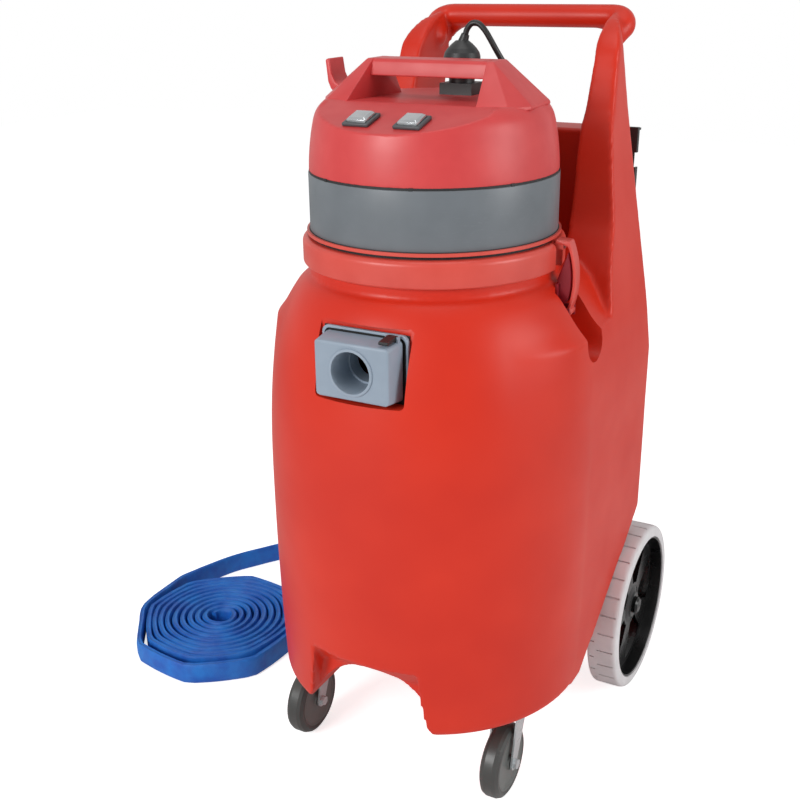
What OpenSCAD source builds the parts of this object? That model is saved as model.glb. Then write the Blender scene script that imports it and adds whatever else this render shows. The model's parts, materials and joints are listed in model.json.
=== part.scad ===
// Pump-out wet and dry tank vacuum on wheels, built as separate pieces.
// Millimetres, +Z up, front at -Y. The origin lies on the floor at the middle of
// the machine's outline; head_frame() moves the axis of the round head there.

/* [Tank] */
// Largest radius of the barrel
tank_r = 218.6; // [205:1:230]
// Height of the barrel from its floor to its neck
tank_h = 567; // [520:1:610]
// Height of the widest place above the tank floor
belly_h = 273; // [230:1:300]
// How much narrower the barrel is at its foot than at its belly
foot_taper = 7; // [3:1:10]
// Wall thickness of the moulded tank
tank_wall = 6; // [4:0.5:7]
// Distance from the head axis to the rear wall
tank_rear = 270; // [262:1:285]
// Radius of the two rear corners
rear_corner = 36; // [30:1:60]
// Radius of the bottom edge
foot_radius = 10; // [8:1:26]
// Height of the front foot arch above the tank floor
arch_h = 66; // [50:1:75]
// Half width of the front foot arch
arch_half_w = 93; // [80:1:98]

/* [Mouth] */
// Inner radius of the tank mouth
mouth_r = 150; // [140:1:154]
// Wall of the neck under the rim
neck_wall = 7; // [5:0.5:9]
// How far the rim stands out from the neck
rim_proud = 9; // [6:0.5:11]
// Height of the rim band
rim_h = 33; // [26:1:38]
// Height of the bare neck under the rim
neck_h = 15; // [10:1:20]

/* [Push handle] */
// Height of the push bar's centre above the tank neck
bar_rise = 295; // [270:1:320]
// Diameter of the push bar
bar_d = 31; // [26:1:34]
// Half width of the push handle over its bar
bar_half_w = 157; // [146:1:162]
// How far the bar's centre stands behind the rear wall
bar_back = 33; // [20:1:40]
// Distance from the head axis to the front face of the back panel
panel_y = 220; // [214:1:228]
// Height of the back panel above the tank neck
panel_rise = 154; // [130:1:180]

/* [Head] */
// Outer radius of the grey band
band_r = 156; // [150:1:159]
// Height of the grey band
band_h = 72; // [60:1:84]
// Height of the cap above the band
cap_h = 83; // [74:1:92]
// Radius of the cap's flat top
cap_top_r = 133; // [126:1:138]
// Wall of the cap and band
head_wall = 4; // [3:0.5:5]
// Slope of the switch panel in degrees
panel_slope = 16; // [12:1:20]
// Rise of the carrying handle above the cap
grip_rise = 46; // [40:1:54]
// Half length of the carrying grip
grip_half = 80; // [74:1:86]
// Thickness of the carrying grip
grip_t = 20; // [16:1:24]
// Depth of the carrying grip
grip_depth = 40; // [30:1:46]

/* [Inlet] */
// Bore of the hose inlet
inlet_bore = 50.8; // [44:0.2:54]
// Height of the inlet above the tank floor
inlet_rise = 491; // [470:1:500]
// Half width of the inlet box
inlet_half_w = 49; // [45:1:52]
// Height of the inlet box
inlet_h = 69; // [66:1:72]
// How far the box stands in front of its flange
inlet_depth = 33; // [26:1:38]
// Thickness of the inlet flange
flange_t = 5; // [4:0.5:6]

/* [Rear wheels] */
// Diameter of the rear wheels
wheel_d = 254; // [240:1:262]
// Width of the rear tyres
tyre_w = 44; // [38:1:48]
// Radial depth of the rear tyres
tyre_t = 17; // [14:1:20]
// Distance from the head axis back to the rear axle
axle_y = 246; // [240:1:250]
// Diameter of the rear axle
axle_d = 16; // [12:1:18]
// Clearance between a wheel and the body over it
well_gap = 3; // [2:1:12]
// Number of tread slots in each row
tread_slots = 28; // [20:1:32]
// Number of spokes in a rear wheel
spokes = 5; // [4:1:6]

/* [Casters] */
// Mounting height of the front casters, which is also the tank floor's height
caster_h = 127; // [120:1:132]
// Diameter of the caster wheels
caster_d = 102; // [90:1:104]
// Width of the caster wheels
caster_w = 28; // [24:1:34]
// Half distance between the swivel axes
caster_x = 152.5; // [145:0.5:156]
// Distance of the swivel axes in front of the head axis
caster_y = 76; // [70:1:90]
// Trail of the caster wheels
caster_trail = 22; // [18:1:34]

/* [Vacuum motor] */
// Diameter of the fan housing
fan_d = 145; // [136:1:150]
// Height of the fan housing
fan_h = 60; // [50:1:64]
// Diameter of the float ball
float_d = 40; // [36:1:44]
// Length of the float cage
cage_h = 125; // [110:1:140]

/* [Pump and hose] */
// Diameter of the pump body
pump_d = 100; // [90:1:106]
// Height of the pump
pump_h = 82; // [74:1:90]
// Height of the discharge pipe above the tank floor
outlet_rise = 123; // [116:1:135]
// Outer diameter of the discharge pipe
outlet_d = 26; // [24:0.5:28]
// Flat width of the lay-flat discharge hose
hose_flat = 36; // [34:1:38]
// Thickness of the lay-flat hose as it lies
hose_t = 8.4; // [7:0.2:9]
// Turns of the coiled hose
coil_turns = 10; // [6:1:12]

/* [Hidden] */

$fn = 72;

// Clearances shared by the fits
fit = 0.05;         // running fit of a pin or shaft, per side
rest_gap = 0.3;     // between a moving piece and its neighbour
loose = 1.0;        // round a piece that only has to pass

// Heights of the main levels above the floor
floor_z = caster_h;
belly_z = floor_z + belly_h;
neck_z = floor_z + tank_h;
rim_z = neck_z + neck_h;
rim_top = rim_z + rim_h;
gasket_t = 4;
lip_t = 4;
lip_z = rim_top + gasket_t;
band_z = lip_z + lip_t;
cap_z = band_z + band_h;
cap_top = cap_z + cap_h;
bar_z = neck_z + bar_rise;
wheel_r = wheel_d / 2;
wheel_z = wheel_r;

// Radii that follow from the mouth
neck_r = mouth_r + neck_wall;
rim_r = neck_r + rim_proud;
lip_r = band_r + 4;

// Widest reach to the front, which is the inlet box, sets the origin
inlet_z = floor_z + inlet_rise;
inlet_face_y = 213;
front_reach = tank_r;
head_y = -(axle_y + wheel_r - front_reach) / 2;

module head_frame() {
    translate([0, head_y, 0]) children();
}

// side is 1 on the machine's right as seen from the front and -1 on the other
module on_side(side) {
    scale_x = side;
    if (scale_x > 0) children();
    else mirror([1, 0, 0]) children();
}

// ---------------------------------------------------------------- tank outlines

shoulder_steps = 16;
lower_steps = 6;

function barrel_r(z) =
    z < belly_z
        ? tank_r - foot_taper * pow((belly_z - z) / belly_h, 2)
        : neck_r + (tank_r - neck_r)
            * pow(1 - pow(min((z - belly_z) / (neck_z - belly_z), 1), 3), 2 / 3);

// Shoulder heights crowd towards the neck, where the curve turns fastest
function shoulder_z(k, inset) =
    belly_z + (neck_z - inset - belly_z) * (1 - pow(1 - k / shoulder_steps, 1.6));

function foot_arc(inset) =
    let (r = foot_radius - inset, c = [barrel_r(floor_z + foot_radius) - foot_radius, floor_z + foot_radius])
    [for (a = [-90:18:0]) c + r * [cos(a), sin(a)]];

// Half section of the barrel, drawn in by inset
function barrel_outline(inset) = concat(
    [[0, floor_z + inset]],
    foot_arc(inset),
    [for (k = [1:lower_steps])
        let (z = floor_z + foot_radius + (belly_h - foot_radius) * k / lower_steps)
        [barrel_r(z) - inset, z]],
    [for (k = [1:shoulder_steps])
        let (z = shoulder_z(k, inset))
        [barrel_r(min(z + inset, neck_z)) - inset, z]],
    [[0, neck_z - inset]]);

module barrel(inset) {
    rotate_extrude($fn = 96) polygon(barrel_outline(inset));
}

// Places where the pillars change direction, as rises above the neck
foot_rise = -112;       // where the pillar leaves the barrel's side
ledge_rise = -61;       // where the pillar's front edge turns up
waist_rise = 103;
crown_rise = 211;
sweep_rise = 250;       // where the front edge sweeps back to the bar
foot_y = 14;
side_in = 0.3;            // the flat sides lie this far inside the barrel, for a clean meeting
pillar_out = [tank_r + 1, tank_r - 27, tank_r - 37, tank_r - 52, tank_r - 60, tank_r - 66];
pillar_in = [140, 131, 125];

// Half of the pillars' outline seen from the front, from the foot up
function pillar_side(inset) = [
    [barrel_r(floor_z + foot_radius) - side_in - inset, floor_z + inset],
    [barrel_r(belly_z) - side_in - inset, belly_z],
    [barrel_r(belly_z + 60) - side_in - inset, belly_z + 60],
    [pillar_out[0] - inset, neck_z - 129],
    [pillar_out[1] - inset, neck_z - 17],
    [pillar_out[2] - inset, neck_z + 70],
    [pillar_out[3] - inset, neck_z + 163],
    [pillar_out[4] - inset, neck_z + crown_rise],
    [pillar_out[5] - inset, neck_z + sweep_rise + 8]];

// The pillars' rear face leans back between these two rises above the neck
lean_foot = -60;
lean_top = 160;
rear_lean = 11;

module mirrored_outline(half) {
    polygon(concat(half, [for (k = [len(half) - 1:-1:0]) [-half[k][0], half[k][1]]]));
}

bar_y = tank_rear + bar_back;
sweep_top = bar_z + 8;

// Rear outline seen from the side, front edge first
module rear_side(inset) {
    top = neck_z + 190;
    lean = bar_back / 2;
    front = [
        [inset, floor_z + inset],
        [foot_y + inset, neck_z + foot_rise],
        [98 + inset * 1.5, neck_z + ledge_rise - inset * 0.5],
        [143 + inset, neck_z + waist_rise],
        [209 + inset, neck_z + crown_rise],
        [208, neck_z + sweep_rise],
        [224, neck_z + sweep_rise + 30],
        [254, neck_z + sweep_rise + 50],
        [bar_y - 6, sweep_top]];
    crown = inset > 0
        ? [[196 + inset, top], [tank_rear + rear_lean + 4 - inset, top]]
        : [[bar_y + 6, sweep_top], [bar_y + bar_d / 2, bar_z], [bar_y + 8, bar_z - bar_d / 2]];
    back = [
        [tank_rear + rear_lean - inset, neck_z + lean_top],
        [tank_rear - inset, neck_z + lean_foot],
        [tank_rear - inset, floor_z + inset]];
    polygon(inset > 0
        ? concat([for (k = [0:3]) front[k]], crown, back)
        : concat(front, crown, [[tank_rear + lean - 3, neck_z + 205]], back));
}

// Plan of the rear with rounded corners
module rear_plan(inset, top) {
    half = tank_r + 2 - inset;
    back = bar_y + bar_d;
    r = rear_corner - inset;
    corner_y = tank_rear - rear_corner;
    translate([-half, 0, floor_z]) cube([2 * half, corner_y, top - floor_z]);
    translate([-half + r, 0, floor_z]) cube([2 * (half - r), back, top - floor_z]);
    for (s = [-1, 1]) {
        translate([s * (half - r), corner_y, floor_z]) cylinder(r = r, h = top - floor_z);
        // Above the corners the pillars are narrower and lean back past the rear wall
        if (inset == 0) translate([-half + r / 3, 0, neck_z]) cube([2 * (half - r / 3), back, top - neck_z]);
    }
}

// The pillars' outer rear corners are cut back on a leaning plane
corner_lean = 9;
corner_turn = 24;
module pillar_corners() {
    for (s = [-1, 1]) on_side(s)
        translate([pillar_out[2] - 8, tank_rear, neck_z + 70]) rotate([0, -corner_lean, 0]) rotate([0, 0, corner_turn])
            translate([0, -90, -135]) cube([60, 180, 420]);
}

module rear_block(inset) {
    top = sweep_top;
    half = pillar_side(inset);
    crown = concat(half, [
        [bar_half_w - 6 - inset, bar_z - 8],
        [bar_half_w - 14 - inset, top - 4],
        [bar_half_w - 24 - inset, top]]);
    intersection() {
        rotate([90, 0, 0]) translate([0, 0, -bar_y - bar_d]) linear_extrude(bar_y + bar_d) mirrored_outline(crown);
        rotate([90, 0, 90]) translate([0, 0, -tank_r - 5]) linear_extrude(2 * tank_r + 10) rear_side(inset);
        rear_plan(inset, top);
    }
}

// Space between the pillars, open to the front and over the back panel
niche_rise = -49;
bar_inner_half = bar_half_w - 29;
niche_corner = 22;
function niche_half(grow) = concat(
    [[pillar_in[0] + grow, neck_z + niche_rise - grow],
     [pillar_in[1] + grow, neck_z + 51],
     [pillar_in[2] + grow, neck_z + 161],
     [bar_inner_half + grow, bar_z - bar_d / 2 - niche_corner]],
    [for (a = [0:15:90])
        [bar_inner_half - niche_corner + (niche_corner + grow) * cos(a),
         bar_z - bar_d / 2 - niche_corner + (niche_corner + grow) * sin(a)]]);

module niche(grow) {
    panel_top = neck_z + panel_rise;
    rotate([90, 0, 0]) translate([0, 0, -panel_y + grow]) linear_extrude(panel_y - grow + 5)
        mirrored_outline(niche_half(grow));
    intersection() {
        rotate([90, 0, 0]) translate([0, 0, -bar_y - bar_d]) linear_extrude(bar_y + bar_d - panel_y + 20)
            mirrored_outline(niche_half(grow));
        translate([-tank_r, 0, panel_top - grow]) cube([2 * tank_r, bar_y + 2 * bar_d, bar_z]);
    }
    // Open up to the bar, which runs free between the two sweeps
    free_half = bar_inner_half - 8 + grow;
    translate([-free_half, 0, neck_z + crown_rise]) cube([2 * free_half, bar_y - 3, bar_z]);
}

// The wells cut the rear corners away on a line that clears the wheels
well_angle = 37.7;
narrow_half = 180;
well_top = wheel_z + wheel_r + well_gap + 36;
module wheel_wells(grow) {
    reach = wheel_r + well_gap + grow;
    n = [-sin(well_angle), cos(well_angle)];
    touch = [axle_y, wheel_z] + reach * n;
    slope = tan(well_angle);
    low_y = touch[0] - (touch[1] + 20 - floor_z + 40) / slope;
    high_y = axle_y + 6;
    high_z = touch[1] + (high_y - touch[0]) * slope;
    for (s = [-1, 1]) on_side(s)
        translate([narrow_half - grow, 0, 0]) rotate([90, 0, 90]) linear_extrude(tank_r)
            polygon([
                [low_y, touch[1] - (touch[0] - low_y) * slope],
                [high_y, high_z],
                [bar_y, high_z + 6],
                [bar_y, 0],
                [low_y, 0]]);
}

// Scoop and arch that lift the front edge between the two feet
recess_rise = 95;
module front_arch(grow) {
    scoop_half = arch_half_w - 16;
    scoop_flare = 14;
    scoop_back = tank_r - 47;
    intersection() {
        rotate([90, 0, 90]) translate([0, 0, -tank_r]) linear_extrude(2 * tank_r)
            polygon([
                [-tank_r - 10, floor_z - 20],
                [-tank_r - 10, floor_z + recess_rise + grow],
                [-scoop_back - 28 + grow, floor_z + recess_rise + grow],
                [-scoop_back + grow, floor_z + arch_h - 6 + grow],
                [-scoop_back + grow, floor_z - 20]]);
        rotate([90, 0, 0]) linear_extrude(tank_r + 10)
            mirrored_outline([
                [scoop_half + scoop_flare + grow, floor_z - 20],
                [scoop_half + grow, floor_z + recess_rise - 20],
                [scoop_half + grow, floor_z + recess_rise + 10]]);
    }
    // The arch runs back under the tank as a low tunnel
    tunnel_r = (arch_half_w * arch_half_w + arch_h * arch_h) / (2 * arch_h);
    intersection() {
        translate([0, -tank_r - 10, floor_z + arch_h - tunnel_r]) rotate([-90, 0, 0])
            cylinder(r = tunnel_r + grow, h = tank_r + 60 + grow);
        translate([-tank_r, -tank_r - 20, floor_z - 20]) cube([2 * tank_r, tank_r + 100, arch_h + 60]);
    }
}

// Seat of the inlet box
seal_t = 2;
seat_y = inlet_face_y - inlet_depth - flange_t - seal_t;
seat_half = inlet_half_w + 13;
module inlet_seat(grow) {
    below = inlet_h / 2 + 20;
    above = inlet_h / 2 + 14;
    translate([-seat_half - grow, -tank_r - 20, inlet_z - below - grow])
        cube([2 * (seat_half + grow), tank_r + 20 - seat_y + grow, below + above + 2 * grow]);
}

// Finger pockets below the latches, and the notches of the rim above them
latch_angle = 4;
latch_w = 20;
pocket_w = 28;
module at_latch(side) {
    on_side(side) rotate([0, 0, latch_angle]) children();
}

module latch_pockets(grow) {
    half = pocket_w / 2 + grow;
    low = neck_z + foot_rise - grow;
    high = rim_z + 40;
    for (s = [-1, 1]) at_latch(s) intersection() {
        translate([0, half, 0]) rotate([90, 0, 0]) linear_extrude(2 * half)
            polygon([
                [neck_r + 9 - grow, high],
                [neck_r + 9 - grow, neck_z - 50],
                [neck_r + 36 - grow, low],
                [tank_r + 20, low],
                [tank_r + 20, high]]);
        translate([mouth_r, 0, low + half]) {
            rotate([0, 90, 0]) cylinder(r = half, h = tank_r);
            translate([0, -half, 0]) cube([tank_r, 2 * half, high - low]);
        }
    }
}

boss_r = 22;
outlet_x = -60;
outlet_z = floor_z + outlet_rise;
gland_x = 62;
gland_z = neck_z + 118;
gland_d = 16;

module tank_outside() {
    difference() {
        union() {
            barrel(0);
            difference() {
                rear_block(0);
                niche(0);
            }
        }
        wheel_wells(0);
        front_arch(0);
        inlet_seat(0);
        latch_pockets(0);
        pillar_corners();
    }
}

module tank_inside() {
    difference() {
        union() {
            barrel(tank_wall);
            difference() {
                rear_block(tank_wall);
                niche(tank_wall);
            }
        }
        wheel_wells(tank_wall);
        front_arch(tank_wall);
        inlet_seat(tank_wall);
        latch_pockets(tank_wall);
        // Wall round the axle tunnel
        translate([-tank_r, axle_y, wheel_z]) rotate([0, 90, 0]) cylinder(r = boss_r, h = 2 * tank_r);
    }
}

// Rim band with its rounded top edge
module rim() {
    edge = 6;
    rotate_extrude($fn = 96) polygon(concat(
        [[mouth_r, neck_z - tank_wall - 4], [neck_r, neck_z - tank_wall - 4], [neck_r, rim_z], [rim_r - 2, rim_z], [rim_r, rim_z + 4]],
        [for (a = [0:22.5:90]) [rim_r - edge + edge * cos(a), rim_top - edge + edge * sin(a)]],
        [[mouth_r, rim_top]]));
}

module push_bar() {
    straight = bar_half_w - bar_d / 2;
    translate([-straight, bar_y, bar_z]) rotate([0, 90, 0]) cylinder(d = bar_d, h = 2 * straight, $fn = 48);
    for (s = [-1, 1]) translate([s * straight, bar_y, bar_z]) sphere(d = bar_d, $fn = 48);
}

module tank_shell() color([0.80, 0.23, 0.16]) head_frame() {
    difference() {
        union() {
            tank_outside();
            rim();
            push_bar();
            translate([-narrow_half, axle_y, wheel_z]) rotate([0, 90, 0]) cylinder(r = boss_r, h = 2 * narrow_half);
        }
        tank_inside();
        translate([0, 0, neck_z - tank_wall - 8]) cylinder(r = mouth_r, h = neck_h + rim_h + 20, $fn = 96);
        for (s = [-1, 1]) at_latch(s)
            translate([mouth_r + 6, -latch_w / 2 - 4, rim_z - 1]) cube([30, latch_w + 8, rim_h + 2]);
        // Axle tunnel
        translate([-tank_r, axle_y, wheel_z]) rotate([0, 90, 0]) cylinder(d = axle_d + 2 * fit, h = 2 * tank_r);
        // Inlet bore in the seat
        translate([0, -seat_y - 20, inlet_z]) rotate([-90, 0, 0]) cylinder(d = inlet_bore + 9, h = 40);
        // Discharge pipe bore in the rear wall
        translate([outlet_x, tank_rear - 30, outlet_z]) rotate([-90, 0, 0]) cylinder(d = outlet_d + 2 * fit, h = 60);
        // Gland bore in the back panel
        translate([gland_x, panel_y - 10, gland_z]) rotate([-90, 0, 0]) cylinder(d = gland_d + 2 * fit, h = 20);
    }
}

// ---------------------------------------------------------------- inlet

tube_wall = 4;
clip_x = 41;
clip_w = 12;
clip_pin_d = 3;
clip_y = -(inlet_face_y - inlet_depth) - 6;
clip_z = inlet_z + inlet_h / 2 + 5.5;

// Block with a slight draft on its four sides
module drafted_block(half_w, height, depth, draft) {
    intersection() {
        linear_extrude(height + 2 * draft + 2, center = true)
            polygon([[-half_w, -depth], [half_w, -depth], [half_w + draft, 0], [-half_w - draft, 0]]);
        rotate([90, 0, 90]) linear_extrude(2 * half_w + 2 * draft + 2, center = true)
            polygon([[-depth, -height / 2], [-depth, height / 2], [0, height / 2 + draft], [0, -height / 2 - draft]]);
    }
}

module inlet_box() color([0.65, 0.70, 0.75]) head_frame() {
    back_y = -(inlet_face_y - inlet_depth);
    rim_out = 2;
    cuff_depth = 39;
    ledge = 2.5;
    inside_end = -seat_y + tank_wall + 10;
    difference() {
        union() {
            translate([0, back_y, inlet_z]) drafted_block(inlet_half_w, inlet_h, inlet_depth, 3);
            // Flange against the seal
            translate([-inlet_half_w - 9, back_y, inlet_z - inlet_h / 2 - 14])
                cube([2 * inlet_half_w + 18, flange_t, inlet_h + 22]);
            // Raised rim of the bore and the tube into the tank
            translate([0, -inlet_face_y - rim_out, inlet_z]) rotate([-90, 0, 0])
                cylinder(d = inlet_bore + 2 * tube_wall, h = inlet_face_y + rim_out + inside_end);
            // Ears and pin of the clip
            for (s = [-1, 1]) translate([clip_x + s * (clip_w / 2 + rest_gap + 1) - 1, clip_y - 3, clip_z - 6])
                cube([2, 6, 9]);
            translate([clip_x - clip_w / 2 - 2, clip_y, clip_z]) rotate([0, 90, 0])
                cylinder(d = clip_pin_d, h = clip_w + 4);
        }
        translate([0, -inlet_face_y - rim_out - 1, inlet_z]) rotate([-90, 0, 0])
            cylinder(d = inlet_bore, h = cuff_depth + 1);
        // Narrower way on behind the ledge that stops the hose cuff
        translate([0, -inlet_face_y, inlet_z]) rotate([-90, 0, 0])
            cylinder(d = inlet_bore - 2 * ledge, h = inlet_face_y + inside_end + 1);
    }
}

module inlet_gasket() color([0.08, 0.08, 0.09]) head_frame() {
    difference() {
        translate([-inlet_half_w - 8, -seat_y - seal_t, inlet_z - inlet_h / 2 - 13])
            cube([2 * inlet_half_w + 16, seal_t, inlet_h + 20]);
        translate([0, -seat_y - seal_t - 1, inlet_z]) rotate([-90, 0, 0])
            cylinder(d = inlet_bore + 2 * tube_wall + 2 * fit, h = seal_t + 2);
    }
}

module inlet_clip() color([0.10, 0.10, 0.11]) head_frame() {
    clip_len = 22;
    difference() {
        translate([clip_x - clip_w / 2, clip_y, clip_z]) rotate([90, 0, 90]) linear_extrude(clip_w)
            polygon([[1.6, -2.3], [3, -0.6], [3, 3], [-4, 3.5], [-clip_len, 1.5], [-clip_len - 1.5, -0.5],
                [-clip_len, -2.2], [-5, -1]]);
        translate([clip_x - clip_w, clip_y, clip_z]) rotate([0, 90, 0])
            cylinder(d = clip_pin_d + 2 * fit, h = 2 * clip_w);
    }
}

// Lock ring and hood that turn the incoming water down inside the tank
module inlet_deflector() color([0.15, 0.15, 0.16]) head_frame() {
    r = inlet_bore / 2 + tube_wall + fit;
    start = -seat_y + tank_wall;
    depth = 46;
    hood_wall = 3;
    translate([0, start, inlet_z]) rotate([-90, 0, 0]) {
        difference() {
            cylinder(r = r + 8, h = 8, $fn = 8);
            translate([0, 0, -1]) cylinder(r = r, h = 10);
        }
        difference() {
            cylinder(r = r + hood_wall, h = depth);
            translate([0, 0, -1]) cylinder(r = r, h = depth - hood_wall + 1);
            // Open below, behind the tube's end
            translate([-2 * r, 0, 12]) cube([4 * r, 2 * r, depth - 12 - hood_wall]);
        }
    }
}

// ---------------------------------------------------------------- head

ear_reach = 12;
ear_w = 14;
ear_t = 6;
ear_root = 3;
ear_top = rim_top - 2;

module rim_gasket() color([0.07, 0.07, 0.08]) head_frame() {
    translate([0, 0, rim_top]) difference() {
        cylinder(r = rim_r - 11, h = gasket_t);
        translate([0, 0, -1]) cylinder(r = mouth_r, h = gasket_t + 2);
    }
}

intake_r = 24;
screw_d = 4;
screw_l = 18;           // length of a screw inside its boss
module at_screws() {
    for (a = [45:90:315]) rotate([0, 0, a]) translate([band_r - head_wall - 15, 0, 0]) children();
}

module head_base() color([0.78, 0.27, 0.22]) head_frame() {
    spigot_wall = 4;
    spigot_r = mouth_r - loose;
    difference() {
        rotate_extrude() polygon([
            [intake_r, band_z], [intake_r, lip_z], [spigot_r - spigot_wall, lip_z],
            [spigot_r - spigot_wall, rim_z + 6], [spigot_r, rim_z + 6], [spigot_r, lip_z],
            [lip_r, lip_z], [lip_r, band_z]]);
        at_screws() translate([0, 0, lip_z - 1]) cylinder(d = screw_d + 2 * fit, h = lip_t + 2);
    }
    for (s = [-1, 1]) at_latch(s) translate([lip_r, -ear_w / 2, 0]) {
        translate([-ear_root, 0, ear_top - ear_t]) cube([ear_root, ear_w, lip_z - ear_top + ear_t + 1]);
        translate([-ear_root, 0, ear_top - ear_t]) cube([ear_root + ear_reach, ear_w, ear_t]);
    }
}

module head_band() color([0.45, 0.49, 0.52]) head_frame() {
    boss = 7;
    difference() {
        union() {
            translate([0, 0, band_z]) difference() {
                cylinder(r = band_r, h = band_h);
                translate([0, 0, -1]) cylinder(r = band_r - head_wall, h = band_h + 2);
            }
            // Bosses for the screws that come up through the base
            at_screws() translate([0, 0, band_z]) {
                cylinder(r = boss, h = screw_l + 4);
                translate([0, -boss / 2, 0]) cube([15 + head_wall / 2, boss, screw_l + 4]);
            }
        }
        at_screws() translate([0, 0, band_z - 1]) cylinder(d = screw_d + 2 * fit, h = screw_l + 2);
    }
}

// Half section of the cap; the shoulder rounds over to a flat top
function cap_outline(inset) = [
    [0, cap_z - (inset > 0 ? 1 : 0)],
    [band_r - 1 - inset, cap_z - (inset > 0 ? 1 : 0)],
    [band_r - 1.5 - inset, cap_z + cap_h * 0.16],
    [band_r - 3 - inset, cap_z + cap_h * 0.36],
    [band_r - 6 - inset, cap_z + cap_h * 0.6],
    [cap_top_r + 13 - inset, cap_z + cap_h * 0.8],
    [cap_top_r + 7 - inset, cap_top - 8 - inset * 0.6],
    [cap_top_r - inset * 0.6, cap_top - inset],
    [0, cap_top - inset]];

// Everything above the sloped switch panel
crease_y = -62;
panel_half = 112;
module panel_cut(drop) {
    half = panel_half + drop;
    translate([0, crease_y, cap_top - drop]) rotate([panel_slope, 0, 0])
        translate([-half, -tank_r, 0]) cube([2 * half, tank_r, 80]);
}

module at_panel(x, along) {
    translate([x, crease_y, cap_top]) rotate([panel_slope, 0, 0]) translate([0, -along, 0]) children();
}

// Corners of the carrying handle's end block, at the cap and at the top
module grip_end() {
    foot = [[88, -63], [125, -51], [130, 29], [72, 50]];
    crown_y = -14;
    crown = [[grip_half - 4, crown_y], [grip_half + 4, crown_y], [grip_half + 4, crown_y + grip_depth],
        [grip_half - 4, crown_y + grip_depth]];
    hull() {
        translate([0, 0, cap_top - 7]) linear_extrude(6.9) polygon(foot);
        translate([0, 0, cap_top + grip_rise - 0.5]) linear_extrude(0.5) polygon(crown);
    }
}

module grip() {
    top = cap_top + grip_rise;
    rotate([90, 0, 90]) translate([0, 0, -grip_half]) linear_extrude(2 * grip_half)
        polygon([
            [-18, top - grip_t], [-15, top - 3], [-12, top], [-16 + grip_depth, top],
            [-12 + grip_depth, top - 4], [-11 + grip_depth, top - grip_t]]);
    grip_end();
    mirror([1, 0, 0]) grip_end();
}

// Places of the two switches on the panel
switch_x = [-34, 32];
switch_along = 57;
bezel_w = 30;
bezel_l = 32;
bezel_h = 5;
window_w = 22;
window_l = 22;
body_w = 26;
body_l = 26;

receptacle_x = 8;
receptacle_y = 62;
receptacle_w = 44;
receptacle_l = 38;
receptacle_h = 14;

module head_cap() color([0.80, 0.33, 0.33]) head_frame() {
    difference() {
        union() {
            difference() {
                rotate_extrude($fn = 96) polygon(cap_outline(0));
                panel_cut(0);
            }
            grip();
        }
        difference() {
            rotate_extrude($fn = 96) polygon(cap_outline(head_wall));
            panel_cut(head_wall);
        }
        for (x = switch_x) at_panel(x, switch_along)
            translate([-body_w / 2 - fit, -body_l / 2 - fit, -3 * head_wall])
                cube([body_w + 2 * fit, body_l + 2 * fit, 4 * head_wall]);
        // Way through for the receptacle's body
        translate([receptacle_x, receptacle_y, cap_top - 3 * head_wall]) cylinder(r = 15, h = 6 * head_wall);
    }
}

hook_y = 8;
hook_w = 22;
module cord_hook() color([0.80, 0.30, 0.30]) head_frame() {
    seat_x = -(cap_top_r - 9);
    translate([0, hook_y + hook_w, cap_top]) rotate([90, 0, 0]) linear_extrude(hook_w)
        polygon([
            [seat_x - 6.6, 0.2], [seat_x - 14, 0.2], [seat_x - 24, 14], [seat_x - 34, 41], [seat_x - 27, 43],
            [seat_x - 17, 20], [seat_x - 8, 8], [seat_x + 1.4, 8]]);
}

module head_screws() color([0.72, 0.72, 0.70]) head_frame() {
    head_h = 3;
    at_screws() translate([0, 0, lip_z - head_h]) {
        cylinder(d = 9, h = head_h);
        cylinder(d = screw_d, h = head_h + lip_t + screw_l);
    }
}

module switch_bezel(x) color([0.20, 0.21, 0.22]) head_frame() at_panel(x, switch_along) {
    difference() {
        union() {
            translate([-bezel_w / 2, -bezel_l / 2, 0]) cube([bezel_w, bezel_l, bezel_h]);
            translate([-body_w / 2, -body_l / 2, -20]) cube([body_w, body_l, 21]);
        }
        translate([-window_w / 2, -window_l / 2, -8]) cube([window_w, window_l, 20]);
    }
}

rocker_pivot = 3.5;
rocker_h = 10;
module switch_rocker(x) color([0.78, 0.80, 0.82]) head_frame() at_panel(x, switch_along) {
    r = window_l / 2 - rest_gap;
    w = window_w - 2 * rest_gap;
    translate([-w / 2, 0, rocker_pivot]) {
        rotate([0, 90, 0]) difference() {
            cylinder(r = r, h = w);
            translate([-r * 3 - 1, -2 * r, -1]) cube([3 * r, 4 * r, w + 2]);
        }
        rotate([90, 0, 90]) linear_extrude(w)
            polygon([[-r, -1], [r, -1], [r - 0.6, 2], [r - 2.6, rocker_h], [-r + 2.6, rocker_h], [-r + 0.6, 2]]);
    }
}

module switch_bezel_vacuum() switch_bezel(switch_x[0]);
module switch_bezel_pump() switch_bezel(switch_x[1]);
module rocker_vacuum() switch_rocker(switch_x[0]);
module rocker_pump() switch_rocker(switch_x[1]);

// ---------------------------------------------------------------- pump's supply cord

blade_w = 6.4;
blade_t = 1.6;
blade_gap = 12.7;
blade_len = 12;
plug_base_z = cap_top + receptacle_h;

module blades(grow) {
    for (s = [-1, 1])
        translate([s * blade_gap / 2 - blade_t / 2 - grow, -blade_w / 2 - grow, -blade_len - grow])
            cube([blade_t + 2 * grow, blade_w + 2 * grow, blade_len + grow + 0.1]);
}

module pump_receptacle() color([0.14, 0.16, 0.16]) head_frame() {
    difference() {
        union() {
            translate([receptacle_x - receptacle_w / 2, receptacle_y - receptacle_l / 2, cap_top])
                cube([receptacle_w, receptacle_l, receptacle_h]);
            translate([receptacle_x, receptacle_y, cap_top - 10]) cylinder(r = 15 - fit, h = 11);
        }
        translate([receptacle_x, receptacle_y, plug_base_z]) blades(0.3);
    }
}

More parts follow.
